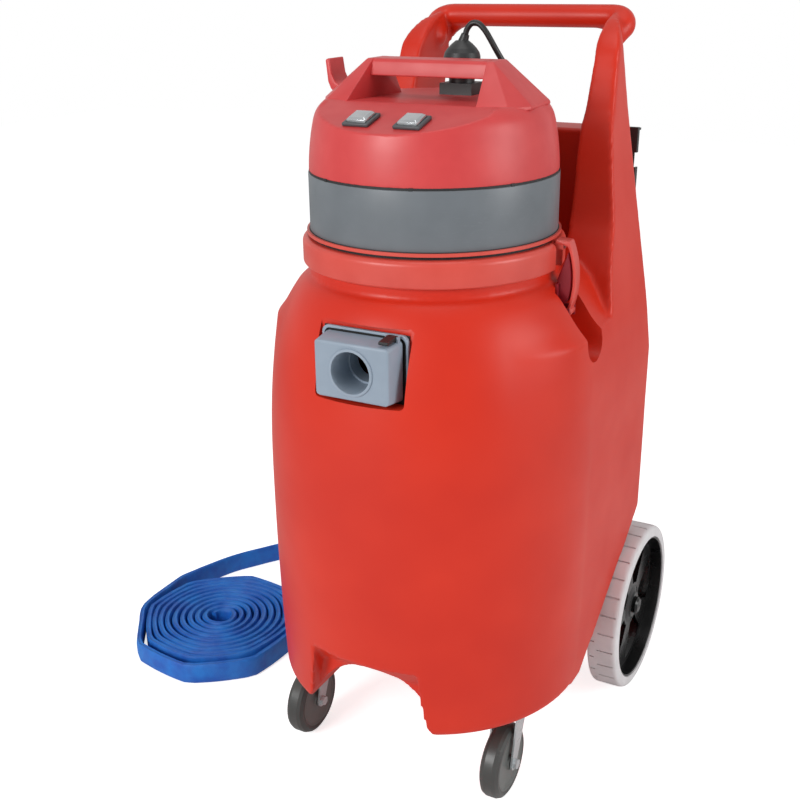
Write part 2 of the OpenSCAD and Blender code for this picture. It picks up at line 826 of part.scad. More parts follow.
plug_r = 23;
plug_h = 50;
boot_tilt = 20;
boot_l = 8;
cord_d = 7.2;
module pump_plug() color([0.06, 0.06, 0.06]) head_frame() {
    translate([receptacle_x, receptacle_y, plug_base_z]) {
        rotate_extrude() polygon([
            [0, 0], [16, 0], [16.5, 10], [plug_r - 2, 15], [plug_r, 19], [plug_r, 31], [plug_r - 1.5, 36],
            [plug_r - 5, 41], [plug_r - 10, 46], [plug_r - 15, plug_h], [0, plug_h]]);
        blades(0);
        translate([0, 0, plug_h - 5]) rotate([0, boot_tilt, 0]) cylinder(d1 = 14, d2 = 10, h = boot_l + 5);
    }
}

// Joined rings of points: each section is [centre, wide axis, thin axis, half width, half thickness]
function ring_points(sec, sides) =
    [for (k = [0:sides - 1])
        let (a = 360 * (k + 0.5) / sides)
        sec[0] + sec[1] * sec[3] * cos(a) + sec[2] * sec[4] * sin(a)];

module swept(sections, sides) {
    n = len(sections);
    points = [for (sec = sections) each ring_points(sec, sides)];
    walls = [for (k = [0:n - 2], j = [0:sides - 1])
        let (a = k * sides + j, b = k * sides + (j + 1) % sides)
        each [[a, b, b + sides], [a, b + sides, a + sides]]];
    caps = [for (j = [1:sides - 2])
        each [[0, j + 1, j], [(n - 1) * sides, (n - 1) * sides + j, (n - 1) * sides + j + 1]]];
    polyhedron(points, concat(walls, caps));
}

function unit(v) = v / norm(v);
function direction(route, k) = unit(route[min(k + 1, len(route) - 1)] - route[max(k - 1, 0)]);

// Round cord along a route; side is any direction that the route never follows
function cord_sections(route, d, side) =
    [for (k = [0:len(route) - 1])
        let (t = direction(route, k), u = unit(cross(t, side)), v = cross(t, u))
        [route[k], u, v, d / 2, d / 2]];

function along(points, k, t) =
    let (n = len(points) - 1, a = points[max(k - 1, 0)], b = points[k], c = points[min(k + 1, n)],
        d = points[min(k + 2, n)])
    0.5 * (2 * b + (c - a) * t + (2 * a - 5 * b + 4 * c - d) * t * t + (3 * b - a - 3 * c + d) * t * t * t);

// Smooth curve through hand-chosen points, in so many steps between two of them
function smooth(points, steps) = concat(
    [for (k = [0:len(points) - 2], j = [0:steps - 1]) along(points, k, j / steps)],
    [points[len(points) - 1]]);

gland_l = 16;
cord_start = [receptacle_x + (boot_l + 5) * sin(boot_tilt), receptacle_y,
    plug_base_z + plug_h - 5 + (boot_l + 5) * cos(boot_tilt)];
cord_route = smooth(concat(
    [cord_start, cord_start + 7 * [sin(boot_tilt), 0, cos(boot_tilt)]],
    [[21, 62, 989], [29, 63, 989], [37, 64, 982], [44, 66, 971], [51, 69, 958], [58, 75, 944], [65, 86, 931],
     [70, 101, 920], [75, 120, 910], [78, 140, 893], [78, 160, 868], [74, 175, 843], [68, 184, 825],
     [64, 191, 815]],
    [[gland_x, panel_y - gland_l - 7, gland_z], [gland_x, panel_y - gland_l, gland_z]]), 2);

module pump_cord() color([0.09, 0.09, 0.09]) head_frame() {
    swept(cord_sections(cord_route, cord_d, [1, -1, 0]), 8);
}

module cord_gland() color([0.10, 0.10, 0.10]) head_frame() {
    translate([gland_x, panel_y, gland_z]) rotate([90, 0, 0]) {
        cylinder(d = 23, h = 6, $fn = 6);
        translate([0, 0, 6]) cylinder(d1 = 18, d2 = 12, h = gland_l - 6);
        translate([0, 0, -tank_wall - 6]) cylinder(d = gland_d, h = tank_wall + 7);
        translate([0, 0, -tank_wall - 5]) cylinder(d = 23, h = 5, $fn = 6);
    }
}

// ---------------------------------------------------------------- vacuum motor and float

gasket_h = 3;
shaft_r = 4;
fan_wall = 2;
fan_z = band_z + gasket_h;
can_d = fan_d * 0.72;
can_h = 78;

module motor_gasket() color([0.12, 0.12, 0.12]) head_frame() {
    translate([0, 0, band_z]) difference() {
        cylinder(r = fan_d / 2 - 6, h = gasket_h);
        translate([0, 0, -1]) cylinder(r = intake_r + 6, h = gasket_h + 2);
    }
}

module fan_housing() color([0.70, 0.71, 0.72]) head_frame() {
    r = fan_d / 2;
    translate([0, 0, fan_z]) difference() {
        cylinder(r = r, h = fan_h);
        translate([0, 0, fan_wall]) cylinder(r = r - fan_wall, h = fan_h - 2 * fan_wall);
        translate([0, 0, -1]) cylinder(r = intake_r, h = fan_wall + 2);
        translate([0, 0, fan_h - fan_wall - 1]) cylinder(r = shaft_r + fit, h = fan_wall + 2);
        // Exhaust windows round the side
        for (a = [0:30:330]) rotate([0, 0, a]) translate([r - 5, -9, fan_h * 0.55]) cube([10, 18, fan_h * 0.28]);
    }
}

module motor_can() color([0.16, 0.16, 0.17]) head_frame() {
    r = can_d / 2;
    wall = 3;
    translate([0, 0, fan_z + fan_h]) difference() {
        rotate_extrude() polygon([[0, 0], [r, 0], [r, can_h - 14], [r - 8, can_h - 3], [r - 14, can_h], [0, can_h]]);
        translate([0, 0, -1]) cylinder(r = shaft_r + fit, h = can_h - wall);
        // Cooling slots
        for (a = [0:30:330]) rotate([0, 0, a]) translate([r - 6, -3, 12]) cube([10, 6, can_h - 40]);
    }
}

// Shaft with its two fan wheels
module motor_rotor() color([0.75, 0.76, 0.78]) head_frame() {
    blade_h = 14;
    wheel_gap = 6;
    fan_r = fan_d / 2 - fan_wall - 3;
    disc = 1.5;
    blades_n = 9;
    translate([0, 0, fan_z + fan_wall + 6]) {
        cylinder(r = shaft_r, h = fan_h + can_h - 22);
        for (k = [0:1]) translate([0, 0, k * (blade_h + wheel_gap)]) {
            cylinder(r = fan_r, h = disc);
            cylinder(r = 11, h = blade_h);
            for (a = [0:360 / blades_n:359]) rotate([0, 0, a]) translate([9, 0, 0])
                rotate([0, 0, -24]) cube([fan_r - 12, disc, blade_h]);
        }
    }
}

cage_wall = 3;
cage_r = float_d / 2 + 25;
seat_hole_r = float_d / 2 - 5;
cage_plate = 7;
module float_cage() color([0.20, 0.20, 0.21]) head_frame() {
    translate([0, 0, lip_z - cage_h]) difference() {
        union() {
            cylinder(r = cage_r, h = cage_h);
            translate([0, 0, cage_h - 4]) cylinder(r = cage_r + 12, h = 4);
        }
        // Ball space with a seat over it
        translate([0, 0, cage_wall]) cylinder(r = cage_r - cage_wall, h = cage_h - cage_wall - cage_plate);
        translate([0, 0, cage_h - cage_plate - 1]) cylinder(r = seat_hole_r, h = cage_plate + 2);
        for (a = [0:45:315]) rotate([0, 0, a])
            translate([cage_r - 8, -7, 12]) cube([12, 14, cage_h - cage_plate - 26]);
    }
    // Rods that guide the ball
    guide_r = float_d / 2 + loose + 2;
    for (a = [22.5:90:300]) rotate([0, 0, a]) translate([guide_r, 0, lip_z - cage_h + 1])
        cylinder(r = 2, h = cage_h - cage_plate);
}

module foam_filter() color([0.33, 0.34, 0.34]) head_frame() {
    foam_t = 9;
    translate([0, 0, lip_z - cage_h + 4]) difference() {
        cylinder(r = cage_r + rest_gap + foam_t, h = cage_h - 8 - rest_gap);
        translate([0, 0, -1]) cylinder(r = cage_r + rest_gap, h = cage_h);
    }
}

float_z = lip_z - cage_h + cage_wall + float_d / 2 + rest_gap;
module float_ball() color([0.90, 0.90, 0.88]) head_frame() {
    translate([0, 0, float_z]) sphere(d = float_d);
}

// ---------------------------------------------------------------- latches

pin_d = 4;
bow_r = 120;
bow_t = 4;
bow_x = lip_r + 30 - bow_r;
bow_z = rim_top - 45;
foot_a = -20;
pin_x = bow_x + (bow_r - bow_t / 2) * cos(foot_a);
pin_z = bow_z + (bow_r - bow_t / 2) * sin(foot_a);
bracket_x = neck_r + 9;
eye_r = 5;

module latch_bracket(side) color([0.55, 0.08, 0.13]) head_frame() at_latch(side) {
    plate_t = 3;
    ear_t = 2.4;
    half = pocket_w / 2 - 0.2;
    foot_z = pin_z - 8;
    pad_h = 44;
    // Plate on the pocket's wall
    translate([bracket_x, -half, foot_z]) cube([plate_t, 2 * half, pad_h]);
    // Raised pad behind the bow
    translate([bracket_x, -latch_w / 2 + 2, foot_z + 14]) rotate([90, 0, 0]) translate([0, 0, -latch_w + 4])
        linear_extrude(latch_w - 4) polygon([[1, 0], [9, 3], [9, pad_h - 18], [1, pad_h - 14]]);
    for (s = [-1, 1]) translate([bracket_x, s * (half - ear_t / 2) - ear_t / 2, foot_z])
        cube([pin_x - bracket_x + 4, ear_t, 14]);
    translate([pin_x, half, pin_z]) rotate([90, 0, 0]) cylinder(d = pin_d, h = 2 * half);
}

module latch_lever(side) color([0.85, 0.40, 0.35]) head_frame() at_latch(side) {
    tip_a = 23.5;
    hook_z = ear_top + rest_gap;
    difference() {
        translate([0, latch_w / 2, 0]) rotate([90, 0, 0]) linear_extrude(latch_w) {
            polygon(concat(
                [for (k = [0:8]) let (a = foot_a + (tip_a - foot_a) * k / 8)
                    [bow_x + bow_r * cos(a), bow_z + bow_r * sin(a)]],
                [[lip_r + 3, hook_z + 6], [lip_r + 1.5, hook_z + 1], [lip_r + 3, hook_z],
                 [lip_r + ear_reach + 1, hook_z]],
                [for (k = [7:-1:0]) let (a = foot_a + (tip_a - foot_a) * k / 8)
                    [bow_x + (bow_r - bow_t) * cos(a), bow_z + (bow_r - bow_t) * sin(a)]]));
            translate([pin_x, pin_z]) circle(r = eye_r);
        }
        translate([pin_x, latch_w, pin_z]) rotate([90, 0, 0]) cylinder(d = pin_d + 2 * fit, h = 2 * latch_w);
    }
}

module latch_bracket_left() latch_bracket(-1);
module latch_bracket_right() latch_bracket(1);
module latch_lever_left() latch_lever(-1);
module latch_lever_right() latch_lever(1);

// ---------------------------------------------------------------- rear wheels

wheel_gap = 11.6;
tyre_in = narrow_half + wheel_gap;
tyre_out = tyre_in + tyre_w;
hub_in = narrow_half + rest_gap;
cap_t = 5;
hub_out = tyre_out - 12;
axle_end = hub_out + cap_t + 0.5;
rim_out_r = wheel_r - tyre_t;

module rear_axle() color([0.66, 0.67, 0.68]) head_frame() {
    translate([-axle_end, axle_y, wheel_z]) rotate([0, 90, 0]) cylinder(d = axle_d, h = 2 * axle_end);
}

module at_axle(side) {
    on_side(side) translate([0, axle_y, wheel_z]) rotate([0, 90, 0]) children();
}

// Sector of a ring, for the windows between the spokes
module window(r0, r1, span) {
    arc = 10;
    polygon(concat(
        [for (k = [0:arc]) let (a = span * (k / arc - 0.5)) r1 * [cos(a), sin(a)]],
        [for (k = [arc:-1:0]) let (a = 0.72 * span * (k / arc - 0.5)) r0 * [cos(a), sin(a)]]));
}

module wheel_hub(side) color([0.05, 0.05, 0.05]) head_frame() at_axle(side) {
    rim_wall = 5;
    web_z = tyre_in + tyre_w * 0.42;
    web_t = 6;
    boss = axle_d / 2 + 14;
    rim_in_r = rim_out_r - rim_wall;
    difference() {
        rotate_extrude() polygon([
            [axle_d / 2 + fit, hub_in], [boss - 6, hub_in], [boss, tyre_in + 2], [boss, web_z],
            [rim_in_r, web_z], [rim_in_r - 1, tyre_in + 3], [rim_out_r, tyre_in + 3], [rim_out_r, tyre_out - 2],
            [rim_in_r + 2, tyre_out - 2], [rim_in_r, web_z + web_t], [boss + 8, web_z + web_t + 3],
            [boss, hub_out - 2], [boss - 3, hub_out], [axle_d / 2 + fit, hub_out]]);
        for (k = [0:spokes - 1]) rotate([0, 0, 360 * k / spokes + 90]) translate([0, 0, web_z - 1])
            linear_extrude(web_t + 6) window(boss + 12, rim_in_r - 8, 360 / spokes * 0.62);
    }
}

module wheel_tyre(side) color([0.78, 0.77, 0.76]) head_frame() at_axle(side) {
    edge = 5;
    slot_w = 3;
    slot_t = 2;
    row_w = tyre_w * 0.36;
    difference() {
        rotate_extrude($fn = 96) polygon([
            [rim_out_r + fit, tyre_in], [wheel_r - edge, tyre_in], [wheel_r - 1.5, tyre_in + 3],
            [wheel_r, tyre_in + edge + 2], [wheel_r, tyre_out - edge - 2], [wheel_r - 1.5, tyre_out - 3],
            [wheel_r - edge, tyre_out], [rim_out_r + fit, tyre_out]]);
        for (row = [0, 1], k = [0:tread_slots - 1])
            rotate([0, 0, 360 * (k + row / 2) / tread_slots])
                translate([wheel_r - slot_t, -slot_w / 2, row == 0 ? tyre_in + 4 : tyre_out - 4 - row_w])
                    cube([slot_t + 2, slot_w, row_w]);
    }
}

module axle_cap(side) color([0.08, 0.08, 0.08]) head_frame() at_axle(side) {
    r = axle_d / 2 + 5;
    difference() {
        rotate_extrude() polygon([
            [0, hub_out + rest_gap], [r, hub_out + rest_gap], [r, axle_end - 1], [r - 3, axle_end + 2],
            [0, axle_end + 3]]);
        translate([0, 0, hub_out - 1]) cylinder(d = axle_d + 2 * fit, h = axle_end - hub_out + 1);
    }
}

module wheel_hub_left() wheel_hub(-1);
module wheel_hub_right() wheel_hub(1);
module wheel_tyre_left() wheel_tyre(-1);
module wheel_tyre_right() wheel_tyre(1);
module axle_cap_left() axle_cap(-1);
module axle_cap_right() axle_cap(1);

// ---------------------------------------------------------------- front casters

plate_t = 3;
race_h = 6;
caster_axle_z = caster_d / 2;
bolt_d = 8;
leg_t = 2.5;
leg_gap = 2;
disc_t = 3;
king_d = 10;
race_z = floor_z - plate_t - race_h;
swivel_top = race_z - rest_gap;

module at_caster(side) {
    on_side(side) translate([caster_x, -caster_y, 0]) children();
}

module caster_mount(side) color([0.72, 0.76, 0.76]) head_frame() at_caster(side) {
    translate([0, 0, floor_z - plate_t]) cylinder(r = 25, h = plate_t);
    translate([0, 0, race_z]) cylinder(r = 19, h = race_h + 1);
    translate([0, 0, swivel_top - disc_t - 6]) cylinder(d = king_d, h = disc_t + 8 + race_h);
    translate([0, 0, swivel_top - disc_t - rest_gap - 4]) cylinder(d = king_d + 7, h = 4);
}

// Pressed fork: top disc and two trailing legs
module caster_fork(side) color([0.72, 0.78, 0.80]) head_frame() at_caster(side) {
    half = caster_w / 2 + leg_gap;
    difference() {
        union() {
            translate([0, 0, swivel_top - disc_t]) cylinder(r = 22, h = disc_t);
            for (s = [-1, 1]) translate([s * (half + leg_t / 2) - leg_t / 2, 0, 0])
                rotate([90, 0, 90]) linear_extrude(leg_t) {
                    polygon([
                        [-16, swivel_top - 1], [14, swivel_top - 1], [10, swivel_top - 14],
                        [-caster_trail + 9, caster_axle_z + 2], [-caster_trail - 9, caster_axle_z + 2]]);
                    translate([-caster_trail, caster_axle_z]) circle(r = 9.5);
                }
        }
        translate([0, 0, 0]) cylinder(d = king_d + 2 * fit, h = floor_z);
        translate([-30, -caster_trail, caster_axle_z]) rotate([0, 90, 0]) cylinder(d = bolt_d + 2 * fit, h = 60);
    }
}

module caster_wheel(side) color([0.33, 0.33, 0.31]) head_frame() at_caster(side) {
    r = caster_d / 2;
    disc_r = r - 11;
    dish = 2.5;
    translate([0, -caster_trail, caster_axle_z]) rotate([0, 90, 0]) translate([0, 0, -caster_w / 2])
        rotate_extrude() polygon([
            [bolt_d / 2 + fit, 0], [10, 0], [11, dish], [disc_r - 4, dish], [disc_r, 0.5], [r - 7, 0.5], [r - 2, 3.5],
            [r, 8], [r, caster_w - 8], [r - 2, caster_w - 3.5], [r - 7, caster_w - 0.5],
            [disc_r, caster_w - 0.5], [disc_r - 4, caster_w - dish], [11, caster_w - dish], [10, caster_w],
            [bolt_d / 2 + fit, caster_w]]);
}

module caster_axle(side) color([0.75, 0.76, 0.76]) head_frame() at_caster(side) {
    half = caster_w / 2 + leg_gap + leg_t;
    translate([0, -caster_trail, caster_axle_z]) rotate([0, 90, 0]) {
        translate([0, 0, -half - 2]) cylinder(d = bolt_d, h = 2 * half + 4);
        for (s = [-1, 1]) translate([0, 0, s * (half + 2.5) - 2.5]) cylinder(d = 14, h = 5, $fn = 6);
    }
}

module caster_mount_left() caster_mount(-1);
module caster_mount_right() caster_mount(1);
module caster_fork_left() caster_fork(-1);
module caster_fork_right() caster_fork(1);
module caster_wheel_left() caster_wheel(-1);
module caster_wheel_right() caster_wheel(1);
module caster_axle_left() caster_axle(-1);
module caster_axle_right() caster_axle(1);

// ---------------------------------------------------------------- accessory strap

strap_x = 160;
strap_w = 18;
strap_t = 2.6;
strap_lean = atan(rear_lean / (lean_top - lean_foot));
strap_foot = 50;        // strap's lower end above the start of the lean
buckle_up = 112;
buckle_h = 46;
buckle_t = 11;
anchor_up = 178;
anchor_h = 34;
strap_pin = 3;

module at_strap() {
    translate([strap_x, tank_rear, neck_z + lean_foot]) rotate([-strap_lean, 0, 0]) children();
}

module strap_anchor() color([0.07, 0.08, 0.07]) head_frame() at_strap() {
    translate([-strap_w / 2 - 3, 0, anchor_up]) cube([strap_w + 6, 8, anchor_h]);
    translate([-strap_w / 2 - 3, 6, anchor_up + anchor_h - 4]) cube([strap_w + 6, 8, 3]);
}

module strap_band() color([0.08, 0.09, 0.08]) head_frame() at_strap() {
    tooth = 5;
    teeth = 11;
    translate([-strap_w / 2, 0.3, strap_foot]) cube([strap_w, strap_t, anchor_up - strap_foot]);
    for (k = [0:teeth - 1]) translate([-strap_w / 2 + 2, strap_t, strap_foot + 3 + k * tooth])
        rotate([90, 0, 90]) linear_extrude(strap_w - 4) polygon([[0, 0], [1.9, 2.4], [0, 3.2]]);
}

module strap_buckle() color([0.06, 0.07, 0.06]) head_frame() at_strap() {
    half = strap_w / 2 + rest_gap;
    wall = 2.5;
    difference() {
        translate([-half - wall, 0, buckle_up]) cube([2 * half + 2 * wall, buckle_t, buckle_h]);
        translate([-half, -1, buckle_up - 1]) cube([2 * half, strap_t + 1 + 2 * rest_gap + 3, buckle_h + 2]);
        translate([-half, -1, buckle_up + 12]) cube([2 * half, buckle_t + 3, buckle_h]);
    }
    translate([-half - 1, buckle_t - 3, buckle_up + buckle_h - 6]) rotate([0, 90, 0])
        cylinder(d = strap_pin, h = 2 * half + 2);
}

// Release lever that pivots at the buckle's upper end
module strap_lever() color([0.09, 0.10, 0.09]) head_frame() at_strap() {
    w = strap_w;
    difference() {
        translate([-w / 2, buckle_t - 3, buckle_up + buckle_h - 6]) rotate([90, 0, 90]) linear_extrude(w)
            polygon([[-2.5, 2.5], [2.5, 2.5], [3, 0], [2.4, -25], [-1, -25], [-2.5, -3]]);
        translate([-w, buckle_t - 3, buckle_up + buckle_h - 6]) rotate([0, 90, 0])
            cylinder(d = strap_pin + 2 * fit, h = 2 * w);
    }
}

// ---------------------------------------------------------------- pump and discharge

pump_y = 168;
pump_z = floor_z + tank_wall;
screen_h = 22;
volute_h = 26;
pump_wall = 3;
chamber_r = pump_d / 2 - pump_wall;
pump_body_h = pump_h - screen_h;

module at_pump() {
    translate([outlet_x, pump_y, pump_z]) children();
}

module pump_screen() color([0.62, 0.63, 0.64]) head_frame() at_pump() {
    slots = 12;
    difference() {
        cylinder(d = pump_d - 4, h = screen_h);
        translate([0, 0, 2]) cylinder(d = pump_d - 9, h = screen_h);
        for (a = [0:360 / slots:359]) rotate([0, 0, a]) translate([pump_d / 2 - 8, -4, 5]) cube([12, 8, screen_h - 9]);
    }
}

module pump_body() color([0.13, 0.14, 0.16]) head_frame() at_pump() {
    translate([0, 0, screen_h]) difference() {
        union() {
            cylinder(d = pump_d, h = volute_h + pump_wall);
            cylinder(d = pump_d - 16, h = pump_body_h);
        }
        translate([0, 0, pump_wall]) cylinder(r = chamber_r, h = volute_h - pump_wall);
        translate([0, 0, -1]) cylinder(r = 16, h = pump_wall + 2);
        translate([0, 0, pump_wall]) cylinder(r = shaft_r + fit, h = pump_body_h - 2 * pump_wall - 2);
    }
}

module pump_impeller() color([0.78, 0.72, 0.45]) head_frame() at_pump() {
    vanes = 6;
    disc = 2;
    vane_h = volute_h - pump_wall - 6;
    translate([0, 0, screen_h + pump_wall]) {
        cylinder(r = shaft_r, h = pump_body_h - 2 * pump_wall - 4);
        translate([0, 0, 2]) {
            cylinder(r = 9, h = vane_h);
            translate([0, 0, vane_h - disc]) cylinder(r = chamber_r - 3, h = disc);
            for (a = [0:360 / vanes:359]) rotate([0, 0, a]) translate([7, 0, 0])
                rotate([0, 0, 30]) cube([chamber_r - 16, disc, vane_h]);
        }
    }
}

outlet_bend = 18;
elbow_bend = 15;
pipe_wall = 2.5;
pipe_end_y = tank_rear + 30;
pipe_low = outlet_z - elbow_bend - 20;

module bend(radius, wall) {
    rotate_extrude(angle = 90) translate([radius, 0]) difference() {
        circle(d = outlet_d, $fn = 32);
        circle(d = outlet_d - 2 * wall, $fn = 32);
    }
}

module pipe(h) {
    difference() {
        cylinder(d = outlet_d, h = h);
        translate([0, 0, -1]) cylinder(d = outlet_d - 2 * pipe_wall, h = h + 2);
    }
}

// Riser from the pump, run through the rear wall and elbow down to the hose
module discharge_pipe() color([0.20, 0.21, 0.22]) head_frame() {
    riser_z = pump_z + pump_h;
    translate([outlet_x, pump_y, riser_z]) pipe(outlet_z - outlet_bend - riser_z);
    translate([outlet_x, pump_y + outlet_bend, outlet_z - outlet_bend]) rotate([90, 0, -90]) bend(outlet_bend, pipe_wall);
    translate([outlet_x, pump_y + outlet_bend, outlet_z]) rotate([-90, 0, 0])
        pipe(pipe_end_y - pump_y - outlet_bend);
    translate([outlet_x, pipe_end_y, outlet_z - elbow_bend]) rotate([90, 0, 90]) bend(elbow_bend, pipe_wall);
    translate([outlet_x, pipe_end_y + elbow_bend, pipe_low]) pipe(outlet_z - elbow_bend - pipe_low);
}

module discharge_nuts() color([0.16, 0.17, 0.18]) head_frame() {
    for (y = [tank_rear - tank_wall - 6, tank_rear]) translate([outlet_x, y, outlet_z]) rotate([-90, 0, 0])
        difference() {
            cylinder(d = outlet_d + 12, h = 6, $fn = 6);
            translate([0, 0, -1]) cylinder(d = outlet_d + 2 * fit, h = 8);
        }
}

tail_r = 9.5;
collar_t = 4;
coupling_grip = 12;
ferrule_h = 25;
tail_end = pipe_low - 50;
hang_y = pipe_end_y + elbow_bend;

module at_hang() {
    translate([outlet_x, hang_y, 0]) children();
}

// Swivel nut that holds the hose tail to the pipe
module hose_coupling() color([0.70, 0.62, 0.35]) head_frame() at_hang() {
    r = outlet_d / 2;
    difference() {
        rotate_extrude() polygon([
            [r + fit, pipe_low + coupling_grip], [r + 6, pipe_low + coupling_grip], [r + 6, pipe_low - collar_t - 6],
            [tail_r + rest_gap, pipe_low - collar_t - 6], [tail_r + rest_gap, pipe_low - collar_t - rest_gap],
            [r + fit, pipe_low - collar_t - rest_gap]]);
        for (a = [0:30:330]) rotate([0, 0, a]) translate([r + 5, -1.2, pipe_low - collar_t - 3])
            cube([4, 2.4, coupling_grip + collar_t]);
    }
}

module hose_tail() color([0.68, 0.60, 0.34]) head_frame() at_hang() {
    difference() {
        rotate_extrude() polygon([
            [tail_r - 2.5, pipe_low], [outlet_d / 2 - rest_gap, pipe_low], [outlet_d / 2 - rest_gap, pipe_low - collar_t],
            [tail_r, pipe_low - collar_t], [tail_r, tail_end + ferrule_h], [tail_r + 4.5, tail_end + ferrule_h - 1],
            [tail_r + 4.5, tail_end], [tail_r - 2.5, tail_end]]);
    }
}

// Cable from the gland down through the double wall to the pump
cable_start = [gland_x, panel_y + tank_wall + 6, gland_z];
cable_route = [
    [gland_x, panel_y + tank_wall + 8.5, gland_z], [gland_x, panel_y + tank_wall + 12, gland_z],
    [gland_x - 1, 243, 800], [56, 246, 780], [48, 246, 740], [40, 246, 690], [30, 246, 620], [14, 245, 540],
    [-4, 243, 460], [-20, 238, 380], [-30, 226, 310], [-34, 208, 262], [-36, 194, 238], [-36, 186, 224],
    [-36, 186, 215.2]];
module pump_cable() color([0.09, 0.09, 0.09]) head_frame() {
    swept(cord_sections(concat([cable_start], smooth(cable_route, 2)), cord_d, [1, -0.6, 0.1]), 8);
}

// ---------------------------------------------------------------- lay-flat hose

hose_lift = 0.3;
hose_z = hose_flat / 2 + hose_lift;
coil_pitch = 12.6;
coil_x = -425;
coil_y = 45;
coil_r = 142;
round_r = 11.5;

// Hand-chosen way of the hose from its tail to the coil
lead_route = concat(
    [[outlet_x, hang_y, tail_end], [outlet_x, hang_y, tail_end - 18], [outlet_x, hang_y, tail_end - hose_flat]],
    [[-61, 316, 98], [-66, 322, 74], [-78, 332, 52], [-98, 347, 34], [-128, 364, 23], [-165, 380, 19],
     [-205, 392, hose_z], [-250, 399, hose_z], [-300, 400, hose_z], [-350, 392, hose_z], [-398, 374, hose_z],
     [-438, 346, hose_z], [-472, 310, hose_z], [-500, 267, hose_z], [-522, 220, hose_z], [-540, 172, hose_z],
     [-554, 126, hose_z], [coil_x - coil_r, coil_y + 2 * hose_flat, hose_z],
     [coil_x - coil_r, coil_y + hose_flat, hose_z]]);
lead_steps = 2;
flat_from = 3;
flat_by = 9;
twist_from = 10;
twist_by = 20;

function ramp(k, a, b) = let (t = min(max((k - a) / (b - a), 0), 1)) t * t * (3 - 2 * t);

// Wide axis turns from level across the hose to upright as the hose reaches the floor
lead_path = smooth(lead_route, lead_steps);
lead_sections = [for (k = [0:len(lead_path) - 1])
    let (
        n = len(lead_path) - 1,
        t = direction(lead_path, k),
        ahead = lead_path[min(max(k, 5) + 3, n)] - lead_path[min(max(k, 5), n - 3)],
        level = unit([ahead[1], -ahead[0], 0]),
        across = unit(level - t * (level * t)),
        up = cross(across, t),
        w = 90 * ramp(k, twist_from, twist_by),
        f = ramp(k, flat_from, flat_by))
    [lead_path[k], across * cos(w) + up * sin(w), up * cos(w) - across * sin(w),
        round_r + (hose_flat / 2 - round_r) * f, round_r + (hose_t / 2 - round_r) * f]];

module hose_lead() color([0.13, 0.36, 0.72]) head_frame() {
    swept(lead_sections, 8);
}

coil_rings = 24;
coil_run = 1;
function coil_point(a) =
    let (r = coil_r - coil_pitch * a / 360) [coil_x - r * cos(a), coil_y - r * sin(a), hose_z];
function coil_side(a) = [-cos(a), -sin(a), 0];
coil_sections = concat(
    [[[coil_x - coil_r, coil_y + hose_flat, hose_z], [0, 0, 1], [-1, 0, 0], hose_flat / 2, hose_t / 2],
     [[coil_x - coil_r, coil_y + hose_flat / 3, hose_z], [0, 0, 1], [-1, 0, 0], hose_flat / 2, hose_t / 2]],
    [for (k = [0:coil_turns * coil_rings])
        let (a = 360 * k / coil_rings)
        [coil_point(a), [0, 0, 1], coil_side(a), hose_flat / 2, hose_t / 2]]);

// Least gap between neighbouring turns, measured at the rings and printed
turn_gaps = [for (k = [0:(coil_turns - 1) * coil_rings])
    norm(coil_point(360 * k / coil_rings) - coil_point(360 * (k / coil_rings + 1))) - hose_t];
echo(least_gap_between_turns = min(turn_gaps));

module hose_coil() color([0.12, 0.34, 0.70]) head_frame() {
    swept(coil_sections, 6);
}

tank_shell();
rim_gasket();
inlet_box();
inlet_gasket();
inlet_clip();
inlet_deflector();
head_base();
head_band();
head_cap();
cord_hook();
head_screws();
switch_bezel_vacuum();
switch_bezel_pump();
rocker_vacuum();
rocker_pump();
pump_receptacle();
pump_plug();
pump_cord();
cord_gland();
fan_housing();
motor_can();
motor_rotor();
motor_gasket();
float_cage();
foam_filter();
float_ball();
latch_bracket_left();
latch_bracket_right();
latch_lever_left();
latch_lever_right();
rear_axle();
wheel_hub_left();
wheel_hub_right();
wheel_tyre_left();
wheel_tyre_right();
axle_cap_left();
axle_cap_right();
caster_mount_left();
caster_mount_right();
caster_fork_left();
caster_fork_right();
caster_wheel_left();
caster_wheel_right();
caster_axle_left();
caster_axle_right();
strap_anchor();
strap_band();
strap_buckle();
strap_lever();
pump_body();
pump_impeller();
pump_screen();
pump_cable();
discharge_pipe();
discharge_nuts();
hose_coupling();
hose_tail();
hose_lead();
hose_coil();
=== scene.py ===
"""Looks of a pump-out wet and dry tank vacuum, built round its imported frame.

Every class below works in millimetres round the axis of the machine's round head, with the floor at
zero. Workshop.deliver() turns a finished mesh into metres in the frame's own place.
"""

import json
import logging
import math
from collections.abc import Callable, Sequence
from dataclasses import dataclass
from enum import Enum

import bmesh
import bpy
import numpy as np
from mathutils import Matrix, Vector

